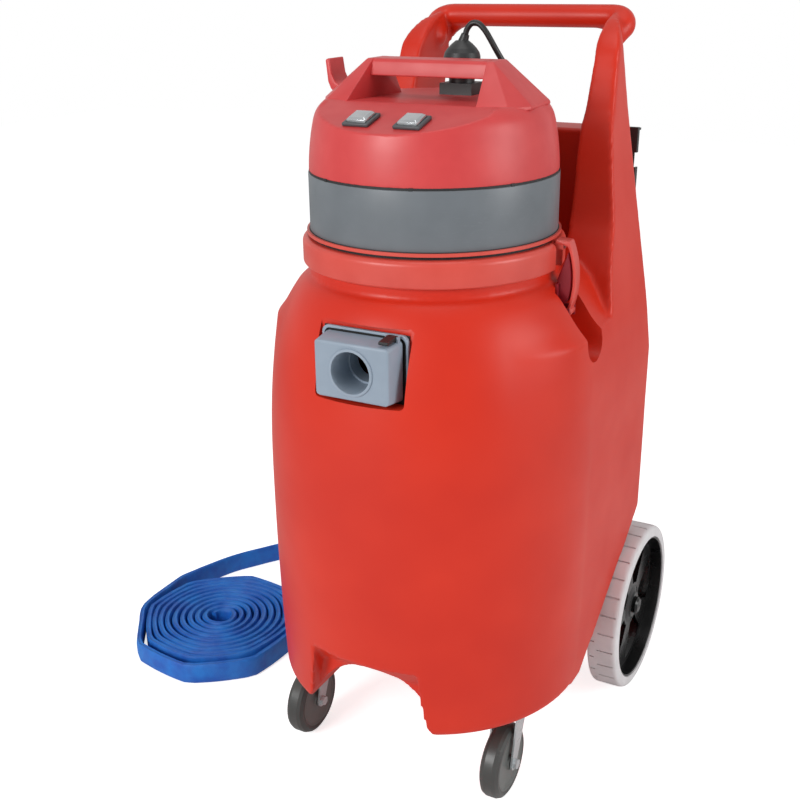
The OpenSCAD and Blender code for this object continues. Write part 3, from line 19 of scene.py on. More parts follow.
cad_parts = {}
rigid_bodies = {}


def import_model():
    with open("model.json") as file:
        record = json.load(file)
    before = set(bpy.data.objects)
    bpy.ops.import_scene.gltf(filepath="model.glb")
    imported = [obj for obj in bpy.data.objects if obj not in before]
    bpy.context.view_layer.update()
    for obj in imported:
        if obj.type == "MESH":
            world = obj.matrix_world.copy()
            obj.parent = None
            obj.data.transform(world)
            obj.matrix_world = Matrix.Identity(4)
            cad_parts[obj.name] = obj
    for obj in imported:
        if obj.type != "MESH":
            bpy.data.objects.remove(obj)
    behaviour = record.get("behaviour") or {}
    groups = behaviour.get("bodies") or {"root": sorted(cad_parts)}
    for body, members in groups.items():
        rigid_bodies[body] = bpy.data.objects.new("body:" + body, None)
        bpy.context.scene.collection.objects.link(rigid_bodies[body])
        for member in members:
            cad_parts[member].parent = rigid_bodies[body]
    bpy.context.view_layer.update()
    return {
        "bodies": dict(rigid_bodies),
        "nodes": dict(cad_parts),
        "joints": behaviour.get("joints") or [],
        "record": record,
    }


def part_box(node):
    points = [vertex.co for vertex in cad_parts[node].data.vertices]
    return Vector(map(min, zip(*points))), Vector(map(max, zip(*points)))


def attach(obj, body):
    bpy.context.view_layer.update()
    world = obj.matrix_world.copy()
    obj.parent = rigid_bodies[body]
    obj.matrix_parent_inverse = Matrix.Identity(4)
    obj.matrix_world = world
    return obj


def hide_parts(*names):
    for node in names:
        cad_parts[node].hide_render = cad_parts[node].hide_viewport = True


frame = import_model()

LOG = logging.getLogger("tank_vacuum")
MM = 0.001
HEAD_LOW, HEAD_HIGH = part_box("head_band")
HEAD_Y = (HEAD_LOW.y + HEAD_HIGH.y) / 2 / MM
TO_FRAME = Matrix.Scale(MM, 4) @ Matrix.Translation((0, HEAD_Y, 0))
IDENTITY = Matrix.Identity(4)
MIRROR_X = Matrix.Scale(-1, 4, (1, 0, 0))

Point2 = tuple[float, float]
Point3 = tuple[float, float, float]
Colour = tuple[float, float, float]
Piece = bpy.types.Object
Socket = bpy.types.NodeSocket
Look = bpy.types.Material


def srgb(red: int, green: int, blue: int) -> Colour:
    """Return the linear colour of an 8-bit screen colour."""
    shares = [c / 255 for c in (red, green, blue)]
    return tuple(s / 12.92 if s < 0.04045 else ((s + 0.055) / 1.055) ** 2.4 for s in shares)


def turned(axis: str, degrees: float, at: Point3 = (0, 0, 0)) -> Matrix:
    """Return a turn about an axis, followed by a move to a point in millimetres."""
    return Matrix.Translation(at) @ Matrix.Rotation(math.radians(degrees), 4, axis)


class Side(Enum):
    """The machine's two sides, with right at +X."""

    LEFT = -1
    RIGHT = 1

    @property
    def word(self) -> str:
        """Return the side's name as the nodes spell it."""
        return self.name.lower()

    @property
    def matrix(self) -> Matrix:
        """Return the map from the right side to this side."""
        return IDENTITY if self is Side.RIGHT else MIRROR_X


# ---------------------------------------- lines and outlines


def arc(centre: Point2, radius: float, start: float, end: float, steps: int) -> list[Point2]:
    """Return the points of a circular arc.

    Args:
        centre: Centre of the arc.
        radius: Radius of the arc.
        start: First angle in degrees.
        end: Last angle in degrees.
        steps: Number of straight steps along it.

    Returns:
        The arc's points, both ends among them.
    """
    angles = [math.radians(start + (end - start) * k / steps) for k in range(steps + 1)]
    return [(centre[0] + radius * math.cos(a), centre[1] + radius * math.sin(a)) for a in angles]


def curve_through(points: Sequence[Sequence[float]], steps: int) -> list[tuple[float, ...]]:
    """Return a smooth curve through chosen points.

    Args:
        points: Points that the curve passes, in two or three dimensions.
        steps: Number of steps between two of them.

    Returns:
        The curve's points as tuples of numbers.
    """
    p = [np.array(q, float) for q in points]
    last = len(p) - 1
    found = []
    for k in range(last):
        a, b, c, d = p[max(k - 1, 0)], p[k], p[k + 1], p[min(k + 2, last)]
        for j in range(steps):
            t = j / steps
            found.append(
                0.5 * (2 * b + (c - a) * t + (2 * a - 5 * b + 4 * c - d) * t * t
                       + (3 * b - a - 3 * c + d) * t**3)
            )
    found.append(p[last])
    return [tuple(float(x) for x in q) for q in found]


def mirrored(half: Sequence[Point2]) -> list[Point2]:
    """Return a closed outline from its half at positive x, first point lowest."""
    return [*half, *[(-x, z) for x, z in reversed(half)]]


def ball(centre: Point3, radius: float) -> list[Point3]:
    """Return points spread over a sphere.

    Args:
        centre: Centre of the sphere.
        radius: Radius of the sphere.

    Returns:
        The points.
    """
    rings = [(radius * math.cos(a), centre[2] + radius * math.sin(a)) for a in np.linspace(-1.45, 1.45, 9)]
    return [(centre[0] + r * math.cos(b), centre[1] + r * math.sin(b), z)
            for r, z in rings for b in np.linspace(0, 2 * math.pi, 16, endpoint=False)]


def ramp(value: float, low: float, high: float) -> float:
    """Return a smooth rise from 0 at low to 1 at high."""
    t = min(max((value - low) / (high - low), 0.0), 1.0)
    return t * t * (3 - 2 * t)


# ---------------------------------------- workshop


class Workshop:
    """Makes, cuts and finishes meshes in millimetres."""

    @staticmethod
    def add(name: str, data: bpy.types.ID) -> Piece:
        """Return a new object in the scene."""
        made = bpy.data.objects.new(name, data)
        bpy.context.scene.collection.objects.link(made)
        return made

    @staticmethod
    def solid(name: str, points: Sequence[Sequence[float]], faces: Sequence[Sequence[int]]) -> Piece:
        """Return a mesh object whose faces point outwards.

        Args:
            name: Name of the object.
            points: Corners of the mesh.
            faces: Corners of each face, by number.

        Returns:
            The new object.
        """
        mesh = bpy.data.meshes.new(name)
        mesh.from_pydata([tuple(p) for p in points], [], [tuple(f) for f in faces])
        piece = Workshop.add(name, mesh)
        Workshop.face_outwards(piece)
        return piece

    @staticmethod
    def face_outwards(piece: Piece) -> None:
        """Merge doubled points and turn every face outwards."""
        work = bmesh.new()
        work.from_mesh(piece.data)
        bmesh.ops.remove_doubles(work, verts=work.verts, dist=1e-4)
        bmesh.ops.recalc_face_normals(work, faces=work.faces)
        work.to_mesh(piece.data)
        work.free()

    @staticmethod
    def revolve(name: str, profile: Sequence[Point2], steps: int = 96, place: Matrix = IDENTITY) -> Piece:
        """Return a solid of revolution.

        Args:
            name: Name of the object.
            profile: Radius and height of each point, closed on the axis or on itself.
            steps: Number of steps round the axis.
            place: Map from the turning axis Z to where the piece lies.

        Returns:
            The closed solid.
        """
        points: list[Vector] = []
        rings: list[list[int]] = []
        for radius, height in profile:
            count = 1 if radius < 1e-6 else steps
            rings.append([len(points) + k for k in range(count)])
            for k in range(count):
                angle = 2 * math.pi * k / steps
                points.append(place @ Vector((radius * math.cos(angle), radius * math.sin(angle), height)))
        on_axis = len(rings[0]) == 1 and len(rings[-1]) == 1
        faces = []
        for n in range(len(rings) - 1 if on_axis else len(rings)):
            low, high = rings[n], rings[(n + 1) % len(rings)]
            for k in range(steps):
                j = (k + 1) % steps
                quad = [low[k % len(low)], low[j % len(low)], high[j % len(high)], high[k % len(high)]]
                faces.append(list(dict.fromkeys(quad)))
        return Workshop.solid(name, points, [f for f in faces if len(f) > 2])

    @staticmethod
    def prism(name: str, outline: Sequence[Point2], low: float, high: float, axis: str = "Z",
              place: Matrix = IDENTITY) -> Piece:
        """Return an outline drawn out along an axis.

        Args:
            name: Name of the object.
            outline: The outline's corners in the plane across the axis.
            low: Start of the piece along the axis.
            high: End of the piece along the axis.
            axis: Axis that the outline is drawn out along.
            place: Map applied to the whole piece.

        Returns:
            The closed prism.
        """
        order: dict[str, Callable[[float, float, float], Point3]] = {
            "X": lambda u, v, t: (t, u, v),
            "Y": lambda u, v, t: (u, t, v),
            "Z": lambda u, v, t: (u, v, t),
        }
        count = len(outline)
        points = [place @ Vector(order[axis](u, v, t)) for t in (low, high) for u, v in outline]
        walls = [(k, (k + 1) % count, count + (k + 1) % count, count + k) for k in range(count)]
        caps = [tuple(range(count)), tuple(range(2 * count - 1, count - 1, -1))]
        return Workshop.solid(name, points, walls + caps)

    @staticmethod
    def block(name: str, low: Point3, high: Point3, place: Matrix = IDENTITY) -> Piece:
        """Return a box between two corners."""
        outline = [(low[0], low[1]), (high[0], low[1]), (high[0], high[1]), (low[0], high[1])]
        return Workshop.prism(name, outline, low[2], high[2], place=place)

    @staticmethod
    def rod(name: str, radius: float, low: float, high: float, place: Matrix = IDENTITY,
            steps: int = 48) -> Piece:
        """Return a round bar along Z, then mapped into place."""
        return Workshop.revolve(name, [(0, low), (radius, low), (radius, high), (0, high)], steps, place)

    @staticmethod
    def hull(name: str, points: Sequence[Point3]) -> Piece:
        """Return the convex body round a few points.

        Args:
            name: Name of the object.
            points: Points that the body holds.

        Returns:
            The closed solid.
        """
        work = bmesh.new()
        for point in points:
            work.verts.new(point)
        found = bmesh.ops.convex_hull(work, input=work.verts)
        inner = [v for v in found["geom_interior"] if isinstance(v, bmesh.types.BMVert)]
        bmesh.ops.delete(work, geom=inner, context="VERTS")
        mesh = bpy.data.meshes.new(name)
        work.to_mesh(mesh)
        work.free()
        piece = Workshop.add(name, mesh)
        Workshop.face_outwards(piece)
        return piece

    @staticmethod
    def sweep(name: str, path: Sequence[Vector], outlines: Sequence[Sequence[Vector]]) -> Piece:
        """Return a closed tube through one outline at each point of a path.

        Args:
            name: Name of the object.
            path: Points of the centreline.
            outlines: Offsets of the section at each of them.

        Returns:
            The closed tube.
        """
        sides = len(outlines[0])
        points = [p + q for p, outline in zip(path, outlines) for q in outline]
        faces: list[tuple[int, ...]] = []
        for n in range(len(path) - 1):
            for k in range(sides):
                a, b = n * sides + k, n * sides + (k + 1) % sides
                faces.append((a, b, b + sides, a + sides))
        end = (len(path) - 1) * sides
        faces += [tuple(range(sides - 1, -1, -1)), tuple(range(end, end + sides))]
        return Workshop.solid(name, points, faces)

    @staticmethod
    def bake(piece: Piece) -> Piece:
        """Turn a piece's modifiers into its mesh.

        Args:
            piece: The piece with its modifiers.

        Returns:
            The same piece with a plain mesh.
        """
        graph = bpy.context.evaluated_depsgraph_get()
        graph.update()
        mesh = bpy.data.meshes.new_from_object(piece.evaluated_get(graph))
        piece.modifiers.clear()
        old, piece.data = piece.data, mesh
        bpy.data.meshes.remove(old)
        return piece

    @staticmethod
    def discard(piece: Piece) -> None:
        """Remove a piece that was only a tool."""
        mesh = piece.data
        bpy.data.objects.remove(piece)
        bpy.data.meshes.remove(mesh)

    @staticmethod
    def boolean(piece: Piece, tool: Piece, operation: str) -> Piece:
        """Join a piece with a tool, cut it by one or keep what lies within one.

        Args:
            piece: The piece that is kept.
            tool: The other solid.
            operation: UNION, DIFFERENCE or INTERSECT.

        Returns:
            The same piece.
        """
        cut = piece.modifiers.new("cut", "BOOLEAN")
        cut.object, cut.operation, cut.solver = tool, operation, "MANIFOLD"
        Workshop.bake(piece)
        Workshop.discard(tool)
        return piece

    @staticmethod
    def cut(piece: Piece, *tools: Piece) -> Piece:
        """Return the piece less each tool."""
        for tool in tools:
            Workshop.boolean(piece, tool, "DIFFERENCE")
        return piece

    @staticmethod
    def unite(piece: Piece, *others: Piece) -> Piece:
        """Return the piece joined with each other piece."""
        for other in others:
            Workshop.boolean(piece, other, "UNION")
        return piece

    @staticmethod
    def relax(piece: Piece, chosen: Callable[[Vector], bool], rounds: int) -> Piece:
        """Smooth the chosen part of a piece further.

        Args:
            piece: A piece with a fine mesh.
            chosen: Test that a vertex passes where it is smoothed.
            rounds: Number of smoothing rounds.

        Returns:
            The same piece.
        """
        group = piece.vertex_groups.new(name="relaxed")
        group.add([v.index for v in piece.data.vertices if chosen(v.co)], 1.0, "REPLACE")
        smooth = piece.modifiers.new("relax", "SMOOTH")
        smooth.factor, smooth.iterations, smooth.vertex_group = 0.5, rounds, group.name
        Workshop.bake(piece)
        piece.vertex_groups.clear()
        return piece

    @staticmethod
    def soften(piece: Piece, voxel: float, rounds: int, faces: int = 0) -> Piece:
        """Round every edge of a moulded piece.

        Args:
            piece: A closed solid.
            voxel: Grid of the even mesh that takes its place.
            rounds: Number of smoothing rounds.
            faces: Most triangles to keep, or 0 to keep all.

        Returns:
            The same piece with soft edges.
        """
        grid = piece.modifiers.new("grid", "REMESH")
        grid.mode, grid.voxel_size = "VOXEL", voxel
        even = piece.modifiers.new("even", "SMOOTH")
        even.factor, even.iterations = 0.5, rounds
        Workshop.bake(piece)
        count = sum(len(p.vertices) - 2 for p in piece.data.polygons)
        if faces and count > faces:
            thin = piece.modifiers.new("thin", "DECIMATE")
            thin.ratio = faces / count
            Workshop.bake(piece)
        return piece

    @staticmethod
    def bevel(piece: Piece, width: float, segments: int = 2, angle: float = 30) -> Piece:
        """Round the sharp edges of a plain piece by a small width.

        Args:
            piece: A piece with flat faces.
            width: Width of the round.
            segments: Number of strips across it.
            angle: Edges sharper than this, in degrees, are rounded.

        Returns:
            The same piece.
        """
        edge = piece.modifiers.new("edge", "BEVEL")
        edge.width, edge.segments, edge.limit_method = width, segments, "ANGLE"
        edge.angle_limit, edge.use_clamp_overlap = math.radians(angle), True
        return Workshop.bake(piece)

    @staticmethod
    def deliver(piece: Piece, finish: Look, body: str, slot: str,
                nodes: Sequence[str] = (), crease: float = 34) -> Piece:
        """Put a finished piece in the frame and dress it.

        Args:
            piece: The finished mesh in millimetres.
            finish: Its material.
            body: The body that it rides on.
            slot: The record's material slot; not used.
            nodes: Nodes of the frame that it stands for.
            crease: Edges sharper than this, in degrees, stay sharp.

        Returns:
            The same piece, in metres, riding on its body.
        """
        piece.data.transform(TO_FRAME)
        piece.data.materials.clear()
        piece.data.materials.append(finish)
        piece.data.polygons.foreach_set("use_smooth", [True] * len(piece.data.polygons))
        piece.data.set_sharp_from_angle(angle=math.radians(crease))
        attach(piece, body)
        if nodes:
            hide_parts(*nodes)
        triangles = sum(len(p.vertices) - 2 for p in piece.data.polygons)
        LOG.info("%s: %d triangles on %s", piece.name, triangles, body)
        return piece


def dress(finish: Look, *nodes: str) -> None:
    """Give nodes of the frame a finish.

    Args:
        finish: Material that the nodes get.
        *nodes: Names of the nodes.
    """
    for node in nodes:
        materials = frame["nodes"][node].data.materials
        materials.clear()
        materials.append(finish)
        LOG.info("%s: dressed in %s", node, finish.name)


# ---------------------------------------- node trees and repeated pieces


class Graph:
    """Adds and joins the nodes of one tree."""

    def __init__(self, tree: bpy.types.NodeTree) -> None:
        """Keep the tree to work in."""
        self.tree = tree

    def node(self, kind: str, **sockets: object) -> bpy.types.Node:
        """Add a node.

        Args:
            kind: Blender's name of the node.
            **sockets: Settings in lower case, and inputs by name with _ for a space.

        Returns:
            The new node.
        """
        made = self.tree.nodes.new(kind)
        for key, value in sockets.items():
            if key.islower():
                setattr(made, key, value)
                continue
            target = made.inputs[key.replace("_", " ")]
            if isinstance(value, Socket):
                self.tree.links.new(value, target)
            else:
                target.default_value = value
        return made

    def math(self, operation: str, first: object, second: object = 0.0) -> Socket:
        """Return the result of a sum.

        Args:
            operation: Blender's name of the sum.
            first: Socket or number.
            second: Socket or number.

        Returns:
            The socket with the result.
        """
        made = self.tree.nodes.new("ShaderNodeMath")
        made.operation = operation
        for target, value in zip(made.inputs, (first, second)):
            if isinstance(value, Socket):
                self.tree.links.new(value, target)
            else:
                target.default_value = value
        return made.outputs[0]

    def blend(self, factor: Socket, first: object, second: object) -> Socket:
        """Return a colour between two others.

        Args:
            factor: Share of the second colour.
            first: Colour or socket.
            second: Colour or socket.

        Returns:
            The socket with the mixed colour.
        """
        mix = self.tree.nodes.new("ShaderNodeMix")
        mix.data_type = "RGBA"
        self.tree.links.new(factor, mix.inputs["Factor"])
        for target, value in ((mix.inputs[6], first), (mix.inputs[7], second)):
            if isinstance(value, Socket):
                self.tree.links.new(value, target)
            else:
                target.default_value = (*value, 1.0)
        return mix.outputs[2]

    def span(self, value: Socket, low: float, high: float, first: float = 0.0, last: float = 1.0) -> Socket:
        """Return a value carried from one range to another, held at its ends.

        Args:
            value: Socket with the value.
            low: Start of its range.
            high: End of its range.
            first: Result at the start.
            last: Result at the end.

        Returns:
            The socket with the result.
        """
        made = self.node("ShaderNodeMapRange", Value=value)
        for name, number in (("From Min", low), ("From Max", high), ("To Min", first), ("To Max", last)):
            made.inputs[name].default_value = number
        return made.outputs[0]


class Repeat(Graph):
    """A geometry node tree with named inputs, which runs on a piece."""

    def __init__(self, name: str, inputs: dict[str, tuple[str, float | int | Point3]]) -> None:
        """Start a tree with named inputs.

        Args:
            name: Name of the tree.
            inputs: Socket kind and starting value of each named input.
        """
        super().__init__(bpy.data.node_groups.new(name, "GeometryNodeTree"))
        self.tree.interface.new_socket("Geometry", in_out="INPUT", socket_type="NodeSocketGeometry")
        self.tree.interface.new_socket("Geometry", in_out="OUTPUT", socket_type="NodeSocketGeometry")
        for label, (kind, value) in inputs.items():
            socket = self.tree.interface.new_socket(label, in_out="INPUT", socket_type=f"NodeSocket{kind}")
            if value is not None:
                socket.default_value = value
        self.entry = self.tree.nodes.new("NodeGroupInput").outputs
        self.exit = self.tree.nodes.new("NodeGroupOutput").inputs

    def apply(self, piece: Piece, **values: object) -> Piece:
        """Run the tree on a piece and keep its result as a plain mesh.

        Args:
            piece: The piece that the tree starts from.
            **values: Values of the named inputs, with _ for a space.

        Returns:
            The same piece with the tree's result as its mesh.
        """
        modifier = piece.modifiers.new(self.tree.name, "NODES")
        modifier.node_group = self.tree
        wanted = {key.replace("_", " "): value for key, value in values.items()}
        for item in self.tree.interface.items_tree:
            if item.item_type == "SOCKET" and item.in_out == "INPUT" and item.name in wanted:
                modifier[item.identifier] = wanted[item.name]
        return Workshop.bake(piece)


def ring_tree() -> Repeat:
    """Return the tree that sets blocks in an even ring and joins them, or cuts them, into a piece."""
    repeat = Repeat("ring_of_blocks", {
        "Count": ("Int", 12), "Radius": ("Float", 100.0), "Size": ("Vector", (5.0, 5.0, 5.0)),
        "Middle": ("Vector", (0.0, 0.0, 0.0)), "Phase": ("Float", 0.0),
        "Cut": ("Bool", False), "Finish": ("Material", None)})
    entry = repeat.entry
    ring = repeat.node("GeometryNodeMeshCircle", Vertices=entry["Count"], Radius=entry["Radius"])
    index = repeat.node("GeometryNodeInputIndex")
    angle = repeat.math("MULTIPLY", repeat.math("DIVIDE", index.outputs[0], entry["Count"]), 2 * math.pi)
    spin = repeat.node("ShaderNodeCombineXYZ", Z=angle)
    block = repeat.node("GeometryNodeMeshCube", Size=entry["Size"])
    placed = repeat.node("GeometryNodeInstanceOnPoints", Points=ring.outputs[0], Instance=block.outputs[0],
                         Rotation=spin.outputs[0])
    phase = repeat.node("ShaderNodeCombineXYZ", Z=entry["Phase"])
    phased = repeat.node("GeometryNodeTransform", Geometry=placed.outputs[0], Rotation=phase.outputs[0])
    moved = repeat.node("GeometryNodeTransform", Geometry=phased.outputs[0], Translation=entry["Middle"])
    real = repeat.node("GeometryNodeRealizeInstances", Geometry=moved.outputs[0])
    less = repeat.node("GeometryNodeMeshBoolean", operation="DIFFERENCE", solver="MANIFOLD")
    repeat.tree.links.new(entry["Geometry"], less.inputs[0])
    repeat.tree.links.new(real.outputs[0], less.inputs[1])
    both = repeat.node("GeometryNodeJoinGeometry")
    repeat.tree.links.new(real.outputs[0], both.inputs[0])
    repeat.tree.links.new(entry["Geometry"], both.inputs[0])
    choice = repeat.node("GeometryNodeSwitch", input_type="GEOMETRY")
    repeat.tree.links.new(entry["Cut"], choice.inputs["Switch"])
    repeat.tree.links.new(both.outputs[0], choice.inputs["False"])
    repeat.tree.links.new(less.outputs[0], choice.inputs["True"])
    coated = repeat.node("GeometryNodeSetMaterial", Geometry=choice.outputs[0], Material=entry["Finish"])
    repeat.tree.links.new(coated.outputs[0], repeat.exit[0])
    return repeat


# ---------------------------------------- finishes


def shader_group(name: str, inputs: dict[str, tuple[str, float]], outputs: Sequence[str],
                 build: Callable[[Graph, object, object], None]) -> bpy.types.NodeTree:
    """Make a shader group with named inputs and outputs.

    Args:
        name: Name of the group.
        inputs: Socket kind and starting value of each input.
        outputs: Names of the outputs, all of them numbers.
        build: Function that fills the group, given its graph, entry sockets and exit sockets.

    Returns:
        The group.
    """
    tree = bpy.data.node_groups.new(name, "ShaderNodeTree")
    for label, (kind, value) in inputs.items():
        socket = tree.interface.new_socket(label, in_out="INPUT", socket_type=f"NodeSocket{kind}")
        if kind == "Float":
            socket.default_value = value
    for label in outputs:
        tree.interface.new_socket(label, in_out="OUTPUT", socket_type="NodeSocketFloat")
    build(Graph(tree), tree.nodes.new("NodeGroupInput").outputs, tree.nodes.new("NodeGroupOutput").inputs)
    return tree


def fill_grain(graph: Graph, entry: object, leave: object) -> None:
    """Fill the group for the fine pebble and slow ripple of a moulded skin.

    Args:
        graph: Graph of the group.
        entry: The group's own inputs.
        leave: The group's own outputs.
    """
    fine = graph.node("ShaderNodeTexNoise", Vector=entry["Vector"], Scale=entry["Scale"], Detail=3.0,
                      Roughness=0.6)
    slow = graph.node("ShaderNodeTexNoise", Vector=entry["Vector"], Scale=entry["Ripple"], Detail=2.0)
    high = graph.math("MULTIPLY", fine.outputs[0], entry["Pebble"])
    graph.tree.links.new(graph.math("ADD", high, slow.outputs[0]), leave["Height"])
    graph.tree.links.new(graph.span(slow.outputs[0], 0.3, 0.7), leave["Mottle"])


def fill_scuff(graph: Graph, entry: object, leave: object) -> None:
    """Fill the group for thin rubbed marks that gather in patches and on raised edges.

    Args:
        graph: Graph of the group.
        entry: The group's own inputs.
        leave: The group's own outputs.
    """
    stretch = graph.node("ShaderNodeMapping", Vector=entry["Vector"])
    stretch.inputs["Scale"].default_value = (1.0, 1.0, 7.0)
    stretch.inputs["Rotation"].default_value = (0.5, 1.1, 0.3)
    lines = graph.node("ShaderNodeTexNoise", Vector=stretch.outputs[0], Scale=entry["Scale"], Detail=4.0,
                       Roughness=0.65)
    patch = graph.node("ShaderNodeTexNoise", Vector=entry["Vector"], Scale=7.0, Detail=2.0)
    marks = graph.math("MULTIPLY", graph.span(lines.outputs[0], 0.60, 0.72),
                       graph.span(patch.outputs[0], 0.48, 0.66))
    point = graph.node("ShaderNodeNewGeometry").outputs["Pointiness"]
    edges = graph.math("MULTIPLY", graph.span(point, 0.52, 0.60), entry["Edges"])
    total = graph.math("ADD", graph.math("MULTIPLY", marks, entry["Amount"]), edges)
    graph.tree.links.new(graph.math("MINIMUM", total, 1.0), leave["Mask"])


def fill_dust(graph: Graph, entry: object, leave: object) -> None:
    """Fill the group for dust that settles on faces turned up and near the floor.

    Args:
        graph: Graph of the group.
        entry: The group's own inputs.
        leave: The group's own outputs.
    """
    up = graph.node("ShaderNodeSeparateXYZ", Vector=graph.node("ShaderNodeNewGeometry").outputs["Normal"])
    height = graph.node("ShaderNodeSeparateXYZ", Vector=entry["Vector"])
    cloud = graph.node("ShaderNodeTexNoise", Vector=entry["Vector"], Scale=24.0, Detail=5.0)
    settled = graph.math("MULTIPLY", graph.span(up.outputs[2], 0.55, 1.0),
                         graph.span(cloud.outputs[0], 0.42, 0.68))
    low = graph.math("MULTIPLY", graph.span(height.outputs[2], 0.16, 0.0, 0.0, 0.6),
                     graph.span(cloud.outputs[0], 0.40, 0.70))
    total = graph.math("MULTIPLY", graph.math("MAXIMUM", settled, low), entry["Amount"])
    graph.tree.links.new(total, leave["Mask"])


def fill_weave(graph: Graph, entry: object, leave: object) -> None:
    """Fill the group for a plain weave of threads on a map in metres.

    Args:
        graph: Graph of the group.
        entry: The group's own inputs.
        leave: The group's own outputs.
    """
    part = graph.node("ShaderNodeSeparateXYZ", Vector=entry["Vector"])
    waves = []
    for axis in range(2):
        threads = graph.math("MULTIPLY", part.outputs[axis], entry["Threads"])
        waves.append(graph.math("SINE", graph.math("MULTIPLY", threads, 2 * math.pi)))
    both = graph.math("MULTIPLY", waves[0], waves[1])
    graph.tree.links.new(graph.span(both, -1.0, 1.0), leave["Height"])


class SharedGroups:
    """The shader groups that more than one finish uses."""

    grain = shader_group("moulded_grain", {
        "Vector": ("Vector", 0), "Scale": ("Float", 900.0), "Ripple": ("Float", 30.0),
        "Pebble": ("Float", 0.2)}, ("Height", "Mottle"), fill_grain)
    scuff = shader_group("rubbed_marks", {
        "Vector": ("Vector", 0), "Scale": ("Float", 90.0), "Amount": ("Float", 0.3),
        "Edges": ("Float", 0.0)}, ("Mask",), fill_scuff)
    dust = shader_group("settled_dust", {"Vector": ("Vector", 0), "Amount": ("Float", 0.1)}, ("Mask",),
                        fill_dust)
    weave = shader_group("plain_weave", {"Vector": ("Vector", 0), "Threads": ("Float", 700.0)}, ("Height",),
                         fill_weave)


@dataclass(frozen=True)
class Finish:
    """A moulded, painted or rubber surface with grain, rubbed marks and dust."""

    name: str
    colour: Colour
    shade: Colour
    roughness: float
    metallic: float = 0.0
    grain: float = 900.0
    ripple: float = 26.0
    pebble: float = 0.10
    relief: float = 0.00035
    rubbed: Colour = (0.75, 0.72, 0.70)
    marks: float = 0.25
    edges: float = 0.0
    dust: float = 0.12
    specular: float = 0.5
    coat: float = 0.0
    coat_roughness: float = 0.08
    settled: Colour = srgb(186, 180, 170)
    dust_roughness: float = 0.4
    unevenness: Point2 = (-0.03, 0.04)

    def vector(self, graph: Graph) -> Socket:
        """Return the coordinates that the surface's pattern reads."""
        return graph.node("ShaderNodeTexCoord").outputs["Object"]

    def pattern(self, graph: Graph, vector: Socket) -> tuple[Socket, Socket]:
        """Return the height and the colour mask of the surface.

        Args:
            graph: Graph of the material.
            vector: Coordinates that the pattern reads.

        Returns:
            The height and the mask.
        """
        grain = graph.node("ShaderNodeGroup", node_tree=SharedGroups.grain, Vector=vector, Scale=self.grain,
                           Ripple=self.ripple, Pebble=self.pebble)
        return grain.outputs["Height"], grain.outputs["Mottle"]

    def paint(self, graph: Graph, vector: Socket, mottle: Socket) -> Socket:
        """Return the colour before marks and dust."""
        return graph.blend(mottle, self.colour, self.shade)

    def build(self) -> Look:
        """Return the material, made once."""
        title = f"look_{self.name}"
        known = bpy.data.materials.get(title)
        if known:
            return known
        material = bpy.data.materials.new(title)
        material.use_nodes = True
        graph = Graph(material.node_tree)
        shader = next(n for n in graph.tree.nodes if n.type == "BSDF_PRINCIPLED")
        vector = self.vector(graph)
        height, mottle = self.pattern(graph, vector)
        paint = self.paint(graph, vector, mottle)
        scuff = graph.node("ShaderNodeGroup", node_tree=SharedGroups.scuff, Vector=vector, Amount=self.marks,
                           Edges=self.edges)
        dust = graph.node("ShaderNodeGroup", node_tree=SharedGroups.dust, Vector=vector, Amount=self.dust)
        worn = graph.blend(scuff.outputs[0], paint, self.rubbed)
        graph.tree.links.new(graph.blend(dust.outputs[0], worn, self.settled), shader.inputs["Base Color"])
        least, most = (self.roughness + change for change in self.unevenness)
        rough = graph.span(mottle, 0.0, 1.0, least, most)
        dull = graph.math("MULTIPLY", dust.outputs[0], self.dust_roughness)
        graph.tree.links.new(graph.math("ADD", rough, dull), shader.inputs["Roughness"])
        bump = graph.node("ShaderNodeBump", Height=height, Strength=1.0, Distance=self.relief)
        graph.tree.links.new(bump.outputs[0], shader.inputs["Normal"])
        shader.inputs["Metallic"].default_value = self.metallic
        shader.inputs["Specular IOR Level"].default_value = self.specular
        shader.inputs["Coat Weight"].default_value = self.coat
        shader.inputs["Coat Roughness"].default_value = self.coat_roughness
        return material


@dataclass(frozen=True)
class BrushedFinish(Finish):
    """Bare metal with fine drawn lines."""

    lines: Point3 = (40.0, 40.0, 900.0)

    def pattern(self, graph: Graph, vector: Socket) -> tuple[Socket, Socket]:
        """Return the height and mask of the drawn lines.

        Args:
            graph: Graph of the material.
            vector: Coordinates that the pattern reads.

        Returns:
            The height and the mask.
        """
        drawn = graph.node("ShaderNodeMapping", Vector=vector)
        drawn.inputs["Scale"].default_value = self.lines
        noise = graph.node("ShaderNodeTexNoise", Vector=drawn.outputs[0], Scale=1.0, Detail=4.0)
        return noise.outputs[0], graph.span(noise.outputs[0], 0.35, 0.65)


@dataclass(frozen=True)
class RoundTwoTone(Finish):
    """A wheel whose disc has another colour than its tread."""

    disc: Colour = (0.2, 0.2, 0.19)
    axle: Point2 = (0.0, 0.0)
    disc_radius: float = 0.04
    soft_edge: float = 0.0004

    def paint(self, graph: Graph, vector: Socket, mottle: Socket) -> Socket:
        """Return the tread's colour outside the disc and the disc's inside it.

        Args:
            graph: Graph of the material.
            vector: Coordinates on the object.
            mottle: Mask between the tread's two colours.

        Returns:
            The socket with the colour.
        """
        part = graph.node("ShaderNodeSeparateXYZ", Vector=vector)
        across = graph.math("POWER", graph.math("SUBTRACT", part.outputs[1], self.axle[0]), 2.0)
        above = graph.math("POWER", graph.math("SUBTRACT", part.outputs[2], self.axle[1]), 2.0)
        reach = graph.math("SQRT", graph.math("ADD", across, above))
        start, end = self.disc_radius - self.soft_edge, self.disc_radius + self.soft_edge
        inside = graph.span(reach, start, end, 1.0, 0.0)
        return graph.blend(inside, graph.blend(mottle, self.colour, self.shade), self.disc)


